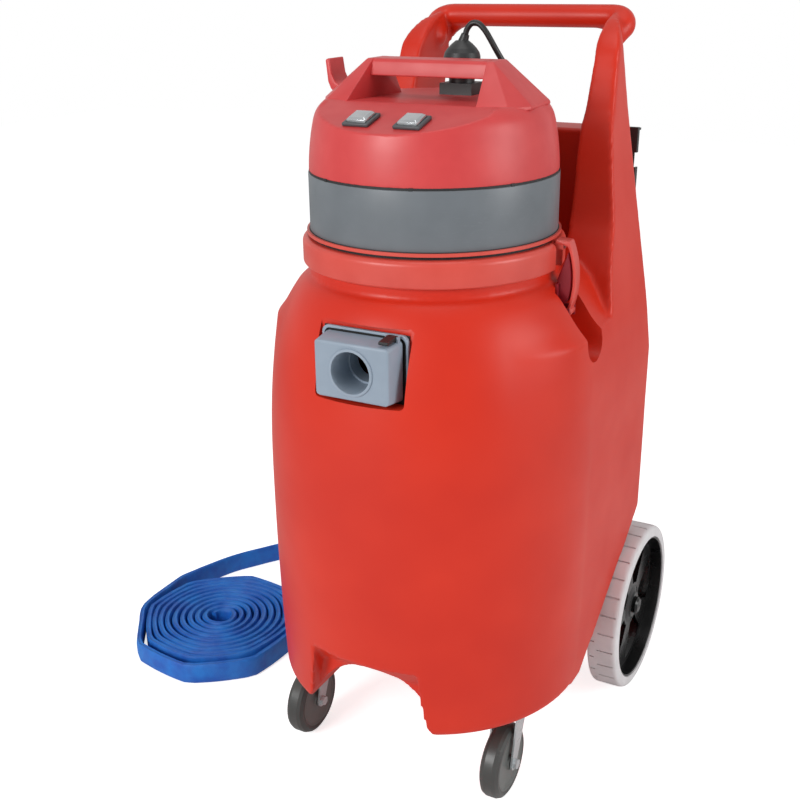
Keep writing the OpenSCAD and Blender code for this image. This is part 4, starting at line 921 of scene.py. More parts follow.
@dataclass(frozen=True)
class WovenFinish(Finish):
    """Coated woven cloth that reads the piece's own map in metres."""

    threads: float = 420.0

    def vector(self, graph: Graph) -> Socket:
        """Return the piece's own map."""
        return graph.node("ShaderNodeUVMap", uv_map="Along").outputs[0]

    def pattern(self, graph: Graph, vector: Socket) -> tuple[Socket, Socket]:
        """Return the height of the threads and a slow fading of the cloth.

        Args:
            graph: Graph of the material.
            vector: The piece's own map.

        Returns:
            The height and the mask.
        """
        weave = graph.node("ShaderNodeGroup", node_tree=SharedGroups.weave, Vector=vector,
                           Threads=self.threads)
        place = graph.node("ShaderNodeTexCoord").outputs["Object"]
        fade = graph.node("ShaderNodeTexNoise", Vector=place, Scale=34.0, Detail=4.0)
        crease = graph.node("ShaderNodeTexNoise", Vector=place, Scale=70.0, Detail=3.0, Distortion=0.8)
        height = graph.math("ADD", graph.math("MULTIPLY", weave.outputs[0], 0.25), crease.outputs[0])
        return height, graph.span(fade.outputs[0], 0.34, 0.66)


@dataclass(frozen=True)
class FoamFinish(Finish):
    """Open-cell foam."""

    def pattern(self, graph: Graph, vector: Socket) -> tuple[Socket, Socket]:
        """Return the height and mask of the cells."""
        cells = graph.node("ShaderNodeTexVoronoi", Vector=vector, Scale=650.0)
        return cells.outputs["Distance"], graph.span(cells.outputs["Distance"], 0.1, 0.7)


class Finishes:
    """Every finish of the machine."""

    tank_red = Finish("tank_red", srgb(212, 46, 22), srgb(204, 40, 18), 0.40, ripple=9.0, pebble=0.05,
                      relief=0.0006, rubbed=srgb(222, 92, 70), marks=0.10, edges=0.06, dust=0.012,
                      specular=0.35)
    rim_red = Finish("rim_red", srgb(214, 78, 66), srgb(207, 70, 58), 0.38, rubbed=srgb(228, 118, 104),
                     marks=0.10, edges=0.08, dust=0.012)
    cap_red = Finish("cap_red", srgb(208, 66, 66), srgb(201, 59, 60), 0.42, grain=700.0, pebble=0.12,
                     rubbed=srgb(226, 112, 110), marks=0.10, edges=0.08, dust=0.015)
    latch_red = Finish("latch_red", srgb(214, 76, 66), srgb(206, 68, 60), 0.36, rubbed=srgb(230, 125, 115),
                       marks=0.12, edges=0.10, dust=0.01)
    bracket_red = Finish("bracket_red", srgb(150, 22, 40), srgb(140, 18, 36), 0.5, marks=0.1, dust=0.04)
    band_grey = Finish("band_grey", srgb(108, 114, 119), srgb(102, 108, 113), 0.40,
                       rubbed=srgb(150, 156, 160), marks=0.14, dust=0.05)
    inlet_grey = Finish("inlet_grey", srgb(146, 160, 175), srgb(139, 153, 168), 0.44,
                        rubbed=srgb(176, 186, 195), marks=0.2, edges=0.1, dust=0.08)
    black_plastic = Finish("black_plastic", srgb(26, 27, 28), srgb(31, 32, 33), 0.42, rubbed=srgb(90, 90, 90),
                           marks=0.15, dust=0.08)
    switch_grey = Finish("switch_grey", srgb(74, 77, 80), srgb(68, 71, 74), 0.45, marks=0.1, dust=0.06)
    switch_cover = Finish("switch_cover", srgb(196, 199, 201), srgb(168, 172, 175), 0.16, metallic=0.75,
                          marks=0.1, dust=0.02, coat=0.9)
    seal_rubber = Finish("seal_rubber", srgb(24, 24, 25), srgb(29, 29, 30), 0.62, marks=0.05, dust=0.06)
    cable_black = Finish("cable_black", srgb(20, 20, 21), srgb(25, 25, 26), 0.4, grain=1500.0, marks=0.05,
                         dust=0.05)
    hub_black = Finish("hub_black", srgb(5, 5, 6), srgb(8, 8, 9), 0.28, rubbed=srgb(50, 50, 52), marks=0.08,
                       dust=0.01, specular=0.25, coat=0.25)
    tyre_grey = Finish("tyre_grey", srgb(226, 224, 226), srgb(216, 213, 214), 0.55, grain=1100.0,
                       rubbed=srgb(178, 174, 170), marks=0.25, dust=0.1)
    float_white = Finish("float_white", srgb(232, 231, 226), srgb(225, 224, 218), 0.35, marks=0.1, dust=0.03)
    steel = BrushedFinish("steel", srgb(206, 212, 214), srgb(188, 196, 199), 0.30, metallic=0.55,
                          relief=0.00006, rubbed=srgb(214, 218, 220), marks=0.15, dust=0.08)
    motor_metal = BrushedFinish("motor_metal", srgb(178, 180, 183), srgb(160, 163, 166), 0.34, metallic=0.9,
                                relief=0.00006, marks=0.1, dust=0.05)
    brass = BrushedFinish("brass", srgb(190, 160, 96), srgb(172, 142, 82), 0.30, metallic=0.95,
                          relief=0.00005, rubbed=srgb(215, 192, 136), marks=0.15, dust=0.05)
    caster = RoundTwoTone("caster", srgb(66, 67, 65), srgb(58, 59, 58), 0.36, rubbed=srgb(120, 119, 116),
                          marks=0.25, dust=0.05, disc=srgb(104, 107, 105), axle=(-0.1752, 0.051),
                          disc_radius=0.0395)
    foam = FoamFinish("foam", srgb(84, 86, 88), srgb(52, 54, 56), 0.9, relief=0.0008, marks=0.0, dust=0.05)
    hose_blue = WovenFinish("hose_blue", srgb(16, 92, 190), srgb(26, 122, 214), 0.50, relief=0.0007,
                            rubbed=srgb(110, 160, 214), marks=0.10, dust=0.05)


# ---------------------------------------- cords


@dataclass
class PumpCord:
    """The pump's short supply cord, from its gland in the back panel up to its plug on the head."""

    diameter: float = 7.2
    start: Point3 = (62.0, 204.0, 812.0)
    plug_mouth: Point3 = (12.446, 62.0, 976.216)
    mouth_tilt: float = 20.0
    steps: int = 6

    def route(self) -> list[Point3]:
        """Return the cord's way from the plug to the gland."""
        lean = math.radians(self.mouth_tilt)
        x, y, z = self.plug_mouth
        chosen = [self.plug_mouth, (x + 7 * math.sin(lean), y, z + 7 * math.cos(lean)),
                  (21, 62, 989), (29, 63, 989), (37, 64, 982), (44, 66, 971), (51, 69, 958), (58, 75, 944),
                  (65, 86, 931), (70, 101, 920), (75, 120, 910), (78, 140, 893), (78, 160, 868),
                  (74, 175, 843), (68, 184, 825), (64, 191, 815), (62, 197, 812), self.start]
        return curve_through(chosen, self.steps)[::-1]

    def build(self) -> None:
        way = [Vector(p) for p in self.route()]
        data = bpy.data.curves.new("pump_cord_flex", "CURVE")
        data.dimensions, data.bevel_depth, data.bevel_resolution = "3D", self.diameter / 2 * MM, 6
        data.use_fill_caps = True
        spline = data.splines.new("POLY")
        spline.points.add(len(way) - 1)
        for target, point in zip(spline.points, way):
            target.co = (*(TO_FRAME @ point), 1.0)
        spline.use_smooth = True
        flex = Workshop.add("pump_cord_flex", data)
        data.materials.append(Finishes.cable_black.build())
        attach(flex, "machine")
        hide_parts("pump_cord")


@dataclass
class DischargeHose:
    """The lay-flat hose: it hangs from its tail, runs over the floor and is wound into a flat coil."""

    flat_width: float = 36.0
    thick: float = 10.6
    lead_thick: float = 7.0
    round_radius: float = 11.5
    lift: float = 0.3
    tail: Point3 = (-60.0, 315.0, 165.0)
    coil_middle: Point2 = (-425.0, 45.0)
    coil_radius: float = 142.0
    pitch: float = 12.6
    slack: float = 12.0
    slack_turns: float = 0.6
    wobble: float = 0.9
    turns: int = 10
    coil_steps: int = 56
    lead_steps: int = 7
    sides: int = 24
    fold: float = 2.6
    fold_width: float = 0.28
    flatness: float = 0.35
    swell: Point2 = (0.86, 1.12)
    flat_span: Point2 = (1.5, 4.5)
    twist_span: Point2 = (5.0, 10.0)
    corners: tuple[float, ...] = (14.0, 62.0, 105.0, 146.0, 196.0, 241.0, 284.0, 332.0)
    kinked_turns: float = 4.0
    kink_share: float = 0.85
    girth_share: float = 2.1
    seed: int = 7

    @property
    def middle_z(self) -> float:
        """Return the height of the hose's centreline where it stands on its edge."""
        return self.flat_width / 2 + self.lift

    def lead_route(self) -> list[Point3]:
        """Return the points of the hose's way from its tail to the start of the coil."""
        x, y, z = self.tail
        h = self.middle_z
        left = self.coil_middle[0] - self.coil_radius
        return [self.tail, (x, y, z - 18), (x, y, z - self.flat_width),
                (-61, 316, 98), (-66, 322, 74), (-78, 332, 52), (-98, 347, 34), (-128, 364, 23),
                (-165, 380, 19), (-205, 392, h), (-250, 399, h), (-300, 400, h), (-350, 392, h),
                (-398, 374, h), (-438, 346, h), (-472, 310, h), (-502, 267, h), (-530, 222, h),
                (-550, 172, h), (-561, 138, h),
                (left, self.coil_middle[1] + 2 * self.flat_width, h),
                (left, self.coil_middle[1] + self.flat_width, h)]

    def kink(self, angle: float, turn: float) -> float:
        """Return how far a turn lies inside its circle where the outer turns are folded flat.

        Args:
            angle: Place round the coil in degrees.
            turn: Number of turns wound before it.

        Returns:
            A share of the radius.
        """
        marks = [*self.corners, self.corners[0] + 360]
        place = (angle - marks[0]) % 360 + marks[0]
        low = max(m for m in marks[:-1] if m <= place)
        high = min(m for m in marks[1:] if m > low)
        half = math.radians((high - low) / 2)
        off = math.radians(place - (low + high) / 2)
        strength = max(0.0, 1 - turn / self.kinked_turns) * ramp(turn, 0.0, 0.1)
        return strength * (1 - math.cos(half) / math.cos(off)) * self.kink_share

    def coil_route(self) -> list[Point3]:
        """Return the points of the wound hose's way, from the outside in."""
        found = []
        for k in range(self.turns * self.coil_steps + 1):
            turn = k / self.coil_steps
            angle = 360 * turn
            wobble = self.wobble * math.sin(math.radians(3 * angle + 40)) * ramp(turn, 1.0, 3.0)
            loose = self.slack * math.sin(math.pi * min(turn / self.slack_turns, 1.0)) ** 2
            radius = (self.coil_radius - self.pitch * turn) * (1 - self.kink(angle, turn)) + wobble + loose
            a = math.radians(angle)
            x, y = self.coil_middle
            found.append((x - radius * math.cos(a), y - radius * math.sin(a), self.middle_z))
        return found

    def outline(self, flat: float, twist: float, along: Vector, ahead: Vector, thick: float) -> list[Vector]:
        """Return the hose's section at one point.

        Args:
            flat: 0 where it is round and 1 where it lies flat.
            twist: Turn of its wide side from level to upright, in degrees.
            along: Direction of the hose there.
            ahead: Direction of the hose over the floor.
            thick: Thickness where it lies flat.

        Returns:
            Offsets of the section's corners from the centreline.
        """
        level = Vector((ahead.y, -ahead.x, 0)).normalized()
        across = (level - along * level.dot(along)).normalized()
        up = across.cross(along)
        w = math.radians(twist)
        wide = across * math.cos(w) + up * math.sin(w)
        thin = up * math.cos(w) - across * math.sin(w)
        half_w = self.round_radius + (self.flat_width / 2 - self.round_radius) * flat
        half_t = self.round_radius + (thick / 2 - self.round_radius) * flat
        power = 1 - self.flatness * flat
        found = []
        for k in range(self.sides):
            a = 2 * math.pi * (k + 0.5) / self.sides
            c, s = math.cos(a), math.sin(a)
            reach = half_w - self.fold * flat * math.exp(-((s / self.fold_width) ** 2))
            found.append(wide * (reach * math.copysign(abs(c) ** power, c))
                         + thin * (half_t * math.copysign(abs(s) ** power, s)))
        return found

    def build(self) -> None:
        lead = [Vector(p) for p in curve_through(self.lead_route(), self.lead_steps)]
        coil = [Vector(p) for p in self.coil_route()]
        entry = Vector((coil[0].x, coil[0].y + self.flat_width / 2, self.middle_z))
        way = lead + [entry] + coil
        random = np.random.default_rng(self.seed)
        coarse = random.uniform(*self.swell, len(way) // 3 + 3)
        outlines = []
        joint = len(lead) / self.lead_steps
        for k in range(len(way)):
            along = (way[min(k + 1, len(way) - 1)] - way[max(k - 1, 0)]).normalized()
            at = k / self.lead_steps
            ahead = along
            if at <= self.twist_span[1]:
                base = max(k, 3 * self.lead_steps)
                ahead = way[min(base + 2 * self.lead_steps, len(lead) - 1)] - way[base]
            flat = ramp(at, *self.flat_span)
            twist = 90 * ramp(at, *self.twist_span)
            swell = float(np.interp(k / 3, range(len(coarse)), coarse))
            thick = swell * (self.lead_thick + (self.thick - self.lead_thick) * ramp(at, joint - 5, joint))
            outlines.append(self.outline(flat, twist, along, ahead, thick))
        hose = Workshop.sweep("discharge_hose", way, outlines)
        self.map_along(hose, way)
        Workshop.deliver(hose, Finishes.hose_blue.build(), "machine", "hose_blue",
                         ("hose_lead", "hose_coil"), 60)

    def map_along(self, hose: Piece, way: Sequence[Vector]) -> None:
        """Give the hose a map in metres along and round it.

        Args:
            hose: The swept hose.
            way: Points of its centreline.
        """
        travelled = np.cumsum([0.0, *[(b - a).length for a, b in zip(way, way[1:])]]) * MM
        girth = self.girth_share * self.flat_width * MM
        layer = hose.data.uv_layers.new(name="Along")
        corners = hose.data.loops
        for face in hose.data.polygons:
            ids = [corners[i].vertex_index for i in face.loop_indices]
            rounds = [v % self.sides for v in ids]
            wraps = max(rounds) - min(rounds) > self.sides / 2
            for loop, vertex, place in zip(face.loop_indices, ids, rounds):
                share = (place + (self.sides if wraps and place == 0 else 0)) / self.sides
                layer.data[loop].uv = (travelled[vertex // self.sides], share * girth)


# ---------------------------------------- tank


@dataclass
class Tank:
    """The moulded tank with its two pillars and push bar."""

    floor: float = 127.0
    neck: float = 694.0
    belly: float = 400.0
    radius: float = 218.6
    foot_taper: float = 7.0
    foot_round: float = 10.0
    neck_radius: float = 157.0
    mouth_radius: float = 150.0
    rim_low: float = 709.0
    rim_top: float = 742.0
    rim_radius: float = 166.0
    wall: float = 6.0
    bar: Point2 = (303.0, 989.0)
    bar_diameter: float = 31.0
    bar_half: float = 157.0
    panel: Point2 = (220.0, 848.0)
    axle: Point2 = (246.0, 127.0)
    axle_diameter: float = 16.0
    narrow_half: float = 180.0
    wheel_reach: float = 130.0
    well_angle: float = 37.7
    arch_half: float = 93.0
    arch_height: float = 66.0
    inlet_height: float = 618.0
    seat: float = 173.0
    seat_half: float = 62.0
    latch_angle: float = 4.0
    pocket_width: float = 50.0
    rear: float = 270.0
    rear_corner: float = 36.0
    outlet: Point2 = (-60.0, 250.0)
    gland: Point2 = (62.0, 812.0)
    inlet_bore: float = 29.9
    outlet_bore: float = 13.05
    gland_bore: float = 8.05
    shoulder: tuple[Point2, ...] = ((218.6, 400), (218.6, 545), (217.1, 590), (214.4, 628), (211, 632),
                                    (200, 645), (188, 663), (176, 680), (157, 696))
    shoulder_back: float = 112.0
    crease_span: Point2 = (9.0, 38.0)
    crease_heights: Point2 = (628.0, 632.0)
    pillar: float = 29.0
    niche_round: float = 32.0
    bend: float = 20.0
    bend_down: Point3 = (0.0, -0.8, -0.6)
    boss: float = 22.0
    voxel: float = 3.0
    faces: int = 150000

    def barrel_radius(self, z: float) -> float:
        """Return the barrel's radius at a height."""
        if z < self.belly:
            return self.radius - self.foot_taper * ((self.belly - z) / (self.belly - self.floor)) ** 2
        rise = min((z - self.belly) / (self.neck - self.belly), 1.0)
        return self.neck_radius + (self.radius - self.neck_radius) * (1 - rise**3) ** (2 / 3)

    def side_radius(self, z: float) -> float:
        """Return the radius at the barrel's sides, where a cone meets the upright wall in a crease."""
        return float(np.interp(z, [p[1] for p in self.shoulder], [p[0] for p in self.shoulder]))

    def barrel(self) -> Piece:
        """Return the barrel with its neck: round in front, creased at its sides."""
        foot = self.barrel_radius(self.floor + self.foot_round) - self.foot_round
        profile = [(0.0, self.floor)]
        profile += arc((foot, self.floor + self.foot_round), self.foot_round, -90, 0, 6)
        profile += [(self.barrel_radius(z), z) for z in np.linspace(self.floor + 16, self.belly, 26)]
        rises = [1 - (1 - k / 48) ** 1.6 for k in range(1, 49)]
        heights = [self.belly + (self.neck - self.belly) * r for r in rises]
        profile += [(self.barrel_radius(z), z) for z in sorted([*heights, *self.crease_heights])]
        profile += [(self.neck_radius, self.rim_low + 10), (0.0, self.rim_low + 10)]
        body = Workshop.revolve("tank_body", profile, 224)
        for vertex in body.data.vertices:
            x, y, z = vertex.co
            now = math.hypot(x, y)
            if self.belly < z < self.neck and now > self.neck_radius:
                ahead = -math.degrees(math.atan2(y, abs(x)))
                goal = now + (self.side_radius(z) - now) * (1 - ramp(ahead, *self.crease_span))
                vertex.co = (x * goal / now, y * goal / now, z)
        return body

    def front_outline(self) -> list[Point2]:
        """Return the rear block's outline seen from the front."""
        r = self.radius
        low = [(self.barrel_radius(z) - 0.3, z) for z in np.linspace(self.floor + 10, self.belly + 60, 12)]
        low[0] = (low[0][0], self.floor)
        bend = curve_through([low[-1], (r, 545), (r - 1.5, 590), (r - 4.2, 628), (r - 18, 700), (r - 31, 764),
                              (r - 48, 857), (r - 54, 905), (r - 57, 938), (160, 955), (155, 970)], 5)
        top = curve_through([(155, 970), (148, 984), (136, 995), (118, 1002)], 3)
        return mirrored([*low[:-1], *bend[:-1], *top])

    def side_outline(self) -> list[Point2]:
        """Return the rear block's outline seen from the side."""
        y, z = self.bar
        rise = curve_through([(81, 634), (88, 656), (101, 690), (121, 722), (137, 748), (152, 797),
                              (172, 858), (186, 884), (198, 914), (207, 938), (214, 954), (226, 968),
                              (240, 979), (262, 990), (y - 8, z + 9)], 4)
        back = curve_through([(y + 6, z + 11), (y + 15.3, z), (y + 10, z - 20), (300, 925), (290, 885),
                              (281, 854)], 4)
        return [(0, self.floor), (0, 630), *rise, *back, (self.rear, 634), (self.rear, self.floor)]

    def plan(self) -> Piece:
        """Return the rear block's plan, drawn up, with its rounded corners."""
        half, back = self.radius + 2, self.bar[0] + self.bar_diameter
        corner = arc((half - self.rear_corner, self.rear - self.rear_corner), self.rear_corner, 0, 90, 10)
        low = [(half, 0.0), *corner, (half - self.rear_corner, back)]
        top = self.bar[1] + 40
        block = Workshop.prism("plan", [*low, *[(-x, y) for x, y in reversed(low)]], self.floor - 1, top)
        upper = Workshop.block("upper", (-half, 0, self.neck), (half, back, top))
        return Workshop.unite(block, upper)

    def niche(self) -> list[Piece]:
        """Return the space between the pillars, as tools."""
        inner, r = self.bar_half - self.pillar, self.niche_round
        under = self.bar[1] - self.bar_diameter / 2
        half = [(140, self.neck - 49), (131, self.neck + 51), (inner - 1, self.neck + 161),
                (inner, under - r - 8), *arc((inner - r, under - r), r, 0, 90, 8)]
        outline = mirrored(half)
        front = Workshop.prism("niche", outline, -5, self.panel[0], "Y")
        over = Workshop.prism("over_panel", outline, self.panel[0] - 20, self.bar[0] + self.bar_diameter, "Y")
        above = Workshop.block("above", (-400, 0, self.panel[1]), (400, 500, 1200))
        over = Workshop.boolean(over, above, "INTERSECT")
        free = inner - 2
        crown = Workshop.block("free", (-free, 0, self.neck + 211), (free, self.bar[0] - 3, 1300))
        return [front, over, crown]

    def wells(self) -> list[Piece]:
        """Return the tools that clear the rear wheels."""
        lean = math.radians(self.well_angle)
        touch = (self.axle[0] - self.wheel_reach * math.sin(lean),
                 self.axle[1] + self.wheel_reach * math.cos(lean))
        low_y = touch[0] - (touch[1] + 20 - self.floor + 40) / math.tan(lean)
        high_y = self.axle[0] + 6
        high_z = touch[1] + (high_y - touch[0]) * math.tan(lean)
        outline = [(low_y, touch[1] - (touch[0] - low_y) * math.tan(lean)), (high_y, high_z),
                   (self.bar[0], high_z + 6), (self.bar[0], 0), (low_y, 0)]
        return [Workshop.prism(f"well_{s.word}", outline, self.narrow_half, 420, "X", s.matrix) for s in Side]

    def arch(self) -> list[Piece]:
        """Return the tools that lift the front edge between the two feet."""
        half = self.arch_half - 16
        recess = self.floor + 95
        back = self.radius - 47
        shape = Workshop.prism("scoop", [
            (-self.radius - 10, self.floor - 20), (-self.radius - 10, recess), (-back - 28, recess),
            (-back, self.floor + self.arch_height - 6), (-back, self.floor - 20)], -220, 220, "X")
        width = Workshop.prism("scoop_width", mirrored([(half + 14, self.floor - 20), (half, recess - 20),
                               (half, recess + 10)]), -240, 0, "Y")
        scoop = Workshop.boolean(shape, width, "INTERSECT")
        r = (self.arch_half**2 + self.arch_height**2) / (2 * self.arch_height)
        tunnel = Workshop.rod("tunnel", r, 0, 280,
                              turned("X", -90, (0, -230, self.floor + self.arch_height - r)), 160)
        return [scoop, tunnel]

    def inlet_seat(self) -> Piece:
        """Return the tool for the inlet box's pocket, with a slot for its flange and seal."""
        half, z = self.seat_half, self.inlet_height
        pocket = Workshop.block("inlet_seat", (-half + 4, -self.radius - 20, z - 41),
                                (half, -self.seat, z + 48))
        slot = Workshop.block("slot", (-half, -self.seat - 9, z - 54.5), (half, -self.seat, z + 48.5))
        return Workshop.unite(Workshop.bevel(pocket, 6.0, 4), slot)

    def pockets(self) -> list[Piece]:
        """Return the tools for the finger pockets below the latches."""
        half = self.pocket_width / 2
        low, high = self.neck - 99, self.rim_low + 14
        outline = [(self.neck_radius + 9, high), (self.neck_radius + 9, self.neck - 48),
                   (self.neck_radius + 33, low), (self.radius + 20, low), (self.radius + 20, high)]
        slot = [(half, high), *arc((0, low + half), half, 0, -180, 16), (-half, high)]
        tools = []
        for side in Side:
            place = side.matrix @ turned("Z", self.latch_angle)
            pocket = Workshop.prism(f"pocket_{side.word}", outline, -half - 5, half + 5, "Y", place)
            width = Workshop.prism("slot", slot, self.mouth_radius, self.radius + 40, "X", place)
            tools.append(Workshop.boolean(pocket, width, "INTERSECT"))
        return tools

    def corners(self) -> list[Piece]:
        """Return the tools that cut back the pillars' outer rear corners."""
        base = turned("Y", -9, (self.radius - 45, self.rear, self.neck + 70)) @ turned("Z", 24)
        return [Workshop.block(f"corner_{side.word}", (0, -90, -240), (60, 90, 285), side.matrix @ base)
                for side in Side]

    def slope(self) -> Piece:
        """Return the shoulder's straight run from the barrel back to the pillars."""
        outline = mirrored([(214, self.belly), *self.shoulder[1:]])
        return Workshop.prism("slope", outline, 0, self.shoulder_back, "Y")

    def push_bar(self) -> list[Piece]:
        """Return the push bar and its two bent ends, which run down into the pillars.

        Returns:
            The pieces, which are joined with the tank.
        """
        y, z = self.bar
        r = self.bar_diameter / 2
        bend, down = self.bend, Vector(self.bend_down)
        straight = self.bar_half - r - bend
        pieces = [Workshop.rod("push_bar", r, -straight, straight, turned("Y", 90, (0, y, z)))]
        way = [Vector((straight + bend * math.sin(a), y, z)) + down * bend * (1 - math.cos(a))
               for a in np.linspace(0, math.pi / 2, 6)]
        way.append(way[-1] + Vector((-10, -18, -16)))
        for side in Side:
            for start, end in zip(way, way[1:]):
                ends = ball(tuple(start), r) + ball(tuple(end), r)
                points = [(side.value * a, b, c) for a, b, c in ends]
                pieces.append(Workshop.hull(f"elbow_{side.word}", points))
        return pieces

    def outside(self) -> Piece:
        """Return the tank's whole outside as one soft solid."""
        back = self.bar[0] + 2 * self.bar_diameter
        block = Workshop.prism("rear_block", self.front_outline(), 0, back, "Y")
        side = Workshop.prism("side", self.side_outline(), -self.radius - 5, self.radius + 5, "X")
        block = Workshop.boolean(block, side, "INTERSECT")
        block = Workshop.boolean(block, self.plan(), "INTERSECT")
        block = Workshop.unite(block, self.slope())
        block = Workshop.cut(block, *self.niche())
        body = Workshop.unite(self.barrel(), block)
        body = Workshop.cut(body, *self.wells(), *self.arch(), *self.corners())
        boss = Workshop.rod("axle_boss", self.boss, -self.narrow_half, self.narrow_half,
                            turned("Y", 90, (0, *self.axle)))
        body = Workshop.unite(body, boss, *self.push_bar())
        body = Workshop.soften(body, self.voxel * (1.0), 3, self.faces)
        crown_low, crown_back = self.bar[1] - 125, self.bar[0] - 14
        Workshop.relax(body, lambda p: p.z > crown_low and p.y < crown_back, 12)
        return Workshop.cut(body, self.inlet_seat(), *self.pockets())

    def inside(self) -> list[Piece]:
        """Return the tools that hollow the tank and drill its bores."""
        low, high = self.floor + 90, self.neck - 60
        profile = [(0.0, low)]
        profile += [(self.barrel_radius(z) - self.wall - 2, z) for z in np.linspace(low, high, 20)]
        profile += [(self.mouth_radius, self.neck - 20), (self.mouth_radius, self.rim_low + 20),
                    (0.0, self.rim_low + 20)]
        hollow = Workshop.revolve("hollow", profile, 96)
        seat = Workshop.block("seat_wall", (-70, -240, self.inlet_height - 62),
                              (70, -self.seat + self.wall, self.inlet_height + 56))
        half = self.pocket_width / 2 + self.wall
        pockets = [Workshop.block("pocket_wall", (self.neck_radius + 2, -half, self.neck - 125),
                                  (260, half, 720), side.matrix @ turned("Z", self.latch_angle))
                   for side in Side]
        hollow = Workshop.cut(hollow, seat, *pockets)
        axle = Workshop.rod("axle_bore", self.axle_diameter / 2 + 0.05, -260, 260,
                            turned("Y", 90, (0, *self.axle)))
        inlet = Workshop.rod("inlet_bore", self.inlet_bore, -40, 60,
                             turned("X", -90, (0, -self.seat - 20, self.inlet_height)))
        outlet = Workshop.rod("outlet_bore", self.outlet_bore, 0, 60,
                              turned("X", -90, (self.outlet[0], self.rear - 45, self.outlet[1])))
        gland = Workshop.rod("gland_bore", self.gland_bore, -10, 12,
                             turned("X", -90, (self.gland[0], self.panel[0], self.gland[1])))
        return [hollow, axle, inlet, outlet, gland]

    def rim(self) -> Piece:
        """Return the rim band with a notch at each latch."""
        low, top, r = self.rim_low, self.rim_top, self.rim_radius
        mouth, neck = self.mouth_radius, self.neck_radius + 0.4
        profile = [(mouth, low + 9), (neck, low + 9), (neck, low), *arc((r - 3, low + 3), 3, -90, 0, 4),
                   *arc((r - 7, top - 7), 7, 0, 90, 7), *arc((mouth + 2.5, top - 2.5), 2.5, 90, 180, 3)]
        band = Workshop.revolve("tank_rim", profile, 224)
        for side in Side:
            notch = Workshop.block("notch", (mouth + 6, -14, low - 1), (mouth + 36, 14, top + 1),
                                   side.matrix @ turned("Z", self.latch_angle))
            Workshop.bevel(notch, 3.0, 3)
            Workshop.cut(band, notch)
        return band

    def build(self) -> None:
        """Make the tank and its rim and put them in the frame."""
        body = Workshop.cut(self.outside(), *self.inside())
        Workshop.deliver(body, Finishes.tank_red.build(), "machine", "tank_red", ("tank_shell",), 50)
        Workshop.deliver(self.rim(), Finishes.rim_red.build(), "machine", "tank_red", ("tank_shell",))


# ---------------------------------------- head


@dataclass
class Switch:
    """One switch: its frame in the panel and the silvery cover over its rocker."""

    name: str
    place: Matrix
    frame_half: float = 17.0
    frame_high: float = 4.4
    body_half: float = 13.0
    body_deep: float = 20.0
    window_half: float = 11.0
    recess_half: float = 13.4
    recess_floor: float = 1.4
    pivot: float = 3.5
    rocker_half: float = 10.7
    cover: tuple[Point2, ...] = ((12.6, -0.3), (12.4, 3.4), (10.0, 5.6))

    def box(self, name: str, half: float, low: float, high: float) -> Piece:
        """Return a square block on the panel.

        Args:
            name: Name of the block.
            half: Half its width.
            low: Height of its underside over the panel.
            high: Height of its top.

        Returns:
            The closed solid.
        """
        return Workshop.block(name, (-half, -half, low), (half, half, high), self.place)

    def frame(self) -> None:
        """Make the frame with the switch's body below the panel."""
        frame = self.box(f"switch_frame_{self.name}", self.frame_half, 0.05, self.frame_high)
        Workshop.bevel(frame, 1.4, 3)
        Workshop.unite(frame, self.box("body", self.body_half, -self.body_deep, 1))
        Workshop.cut(frame, self.box("window", self.window_half, -8, 12),
                     self.box("recess", self.recess_half, self.recess_floor, 12))
        Workshop.deliver(frame, Finishes.switch_grey.build(), "machine", "switch_grey",
                         (f"switch_bezel_{self.name}",))

    def rocker(self) -> None:
        """Make the rocker with its cover, which turns on the rocker's own body."""
        half, pivot = self.rocker_half, self.pivot
        low = [(half * math.cos(a), pivot + half * math.sin(a)) for a in np.linspace(-math.pi, 0, 19)]
        rocker = Workshop.prism(f"rocker_cover_{self.name}", low, -half, half, "X", self.place)
        dome = Workshop.hull("dome", [(x * u, y * u, pivot + rise) for u, rise in self.cover
                                      for x in (-1, 1) for y in (-1, 1)])
        dome.data.transform(self.place)
        Workshop.unite(rocker, Workshop.bevel(dome, 0.8, 2, 25))
        Workshop.deliver(rocker, Finishes.switch_cover.build(), f"{self.name}_rocker", "switch_cover",
                         (f"rocker_{self.name}",))

    def build(self) -> None:
        """Make the switch."""
        self.frame()
        self.rocker()


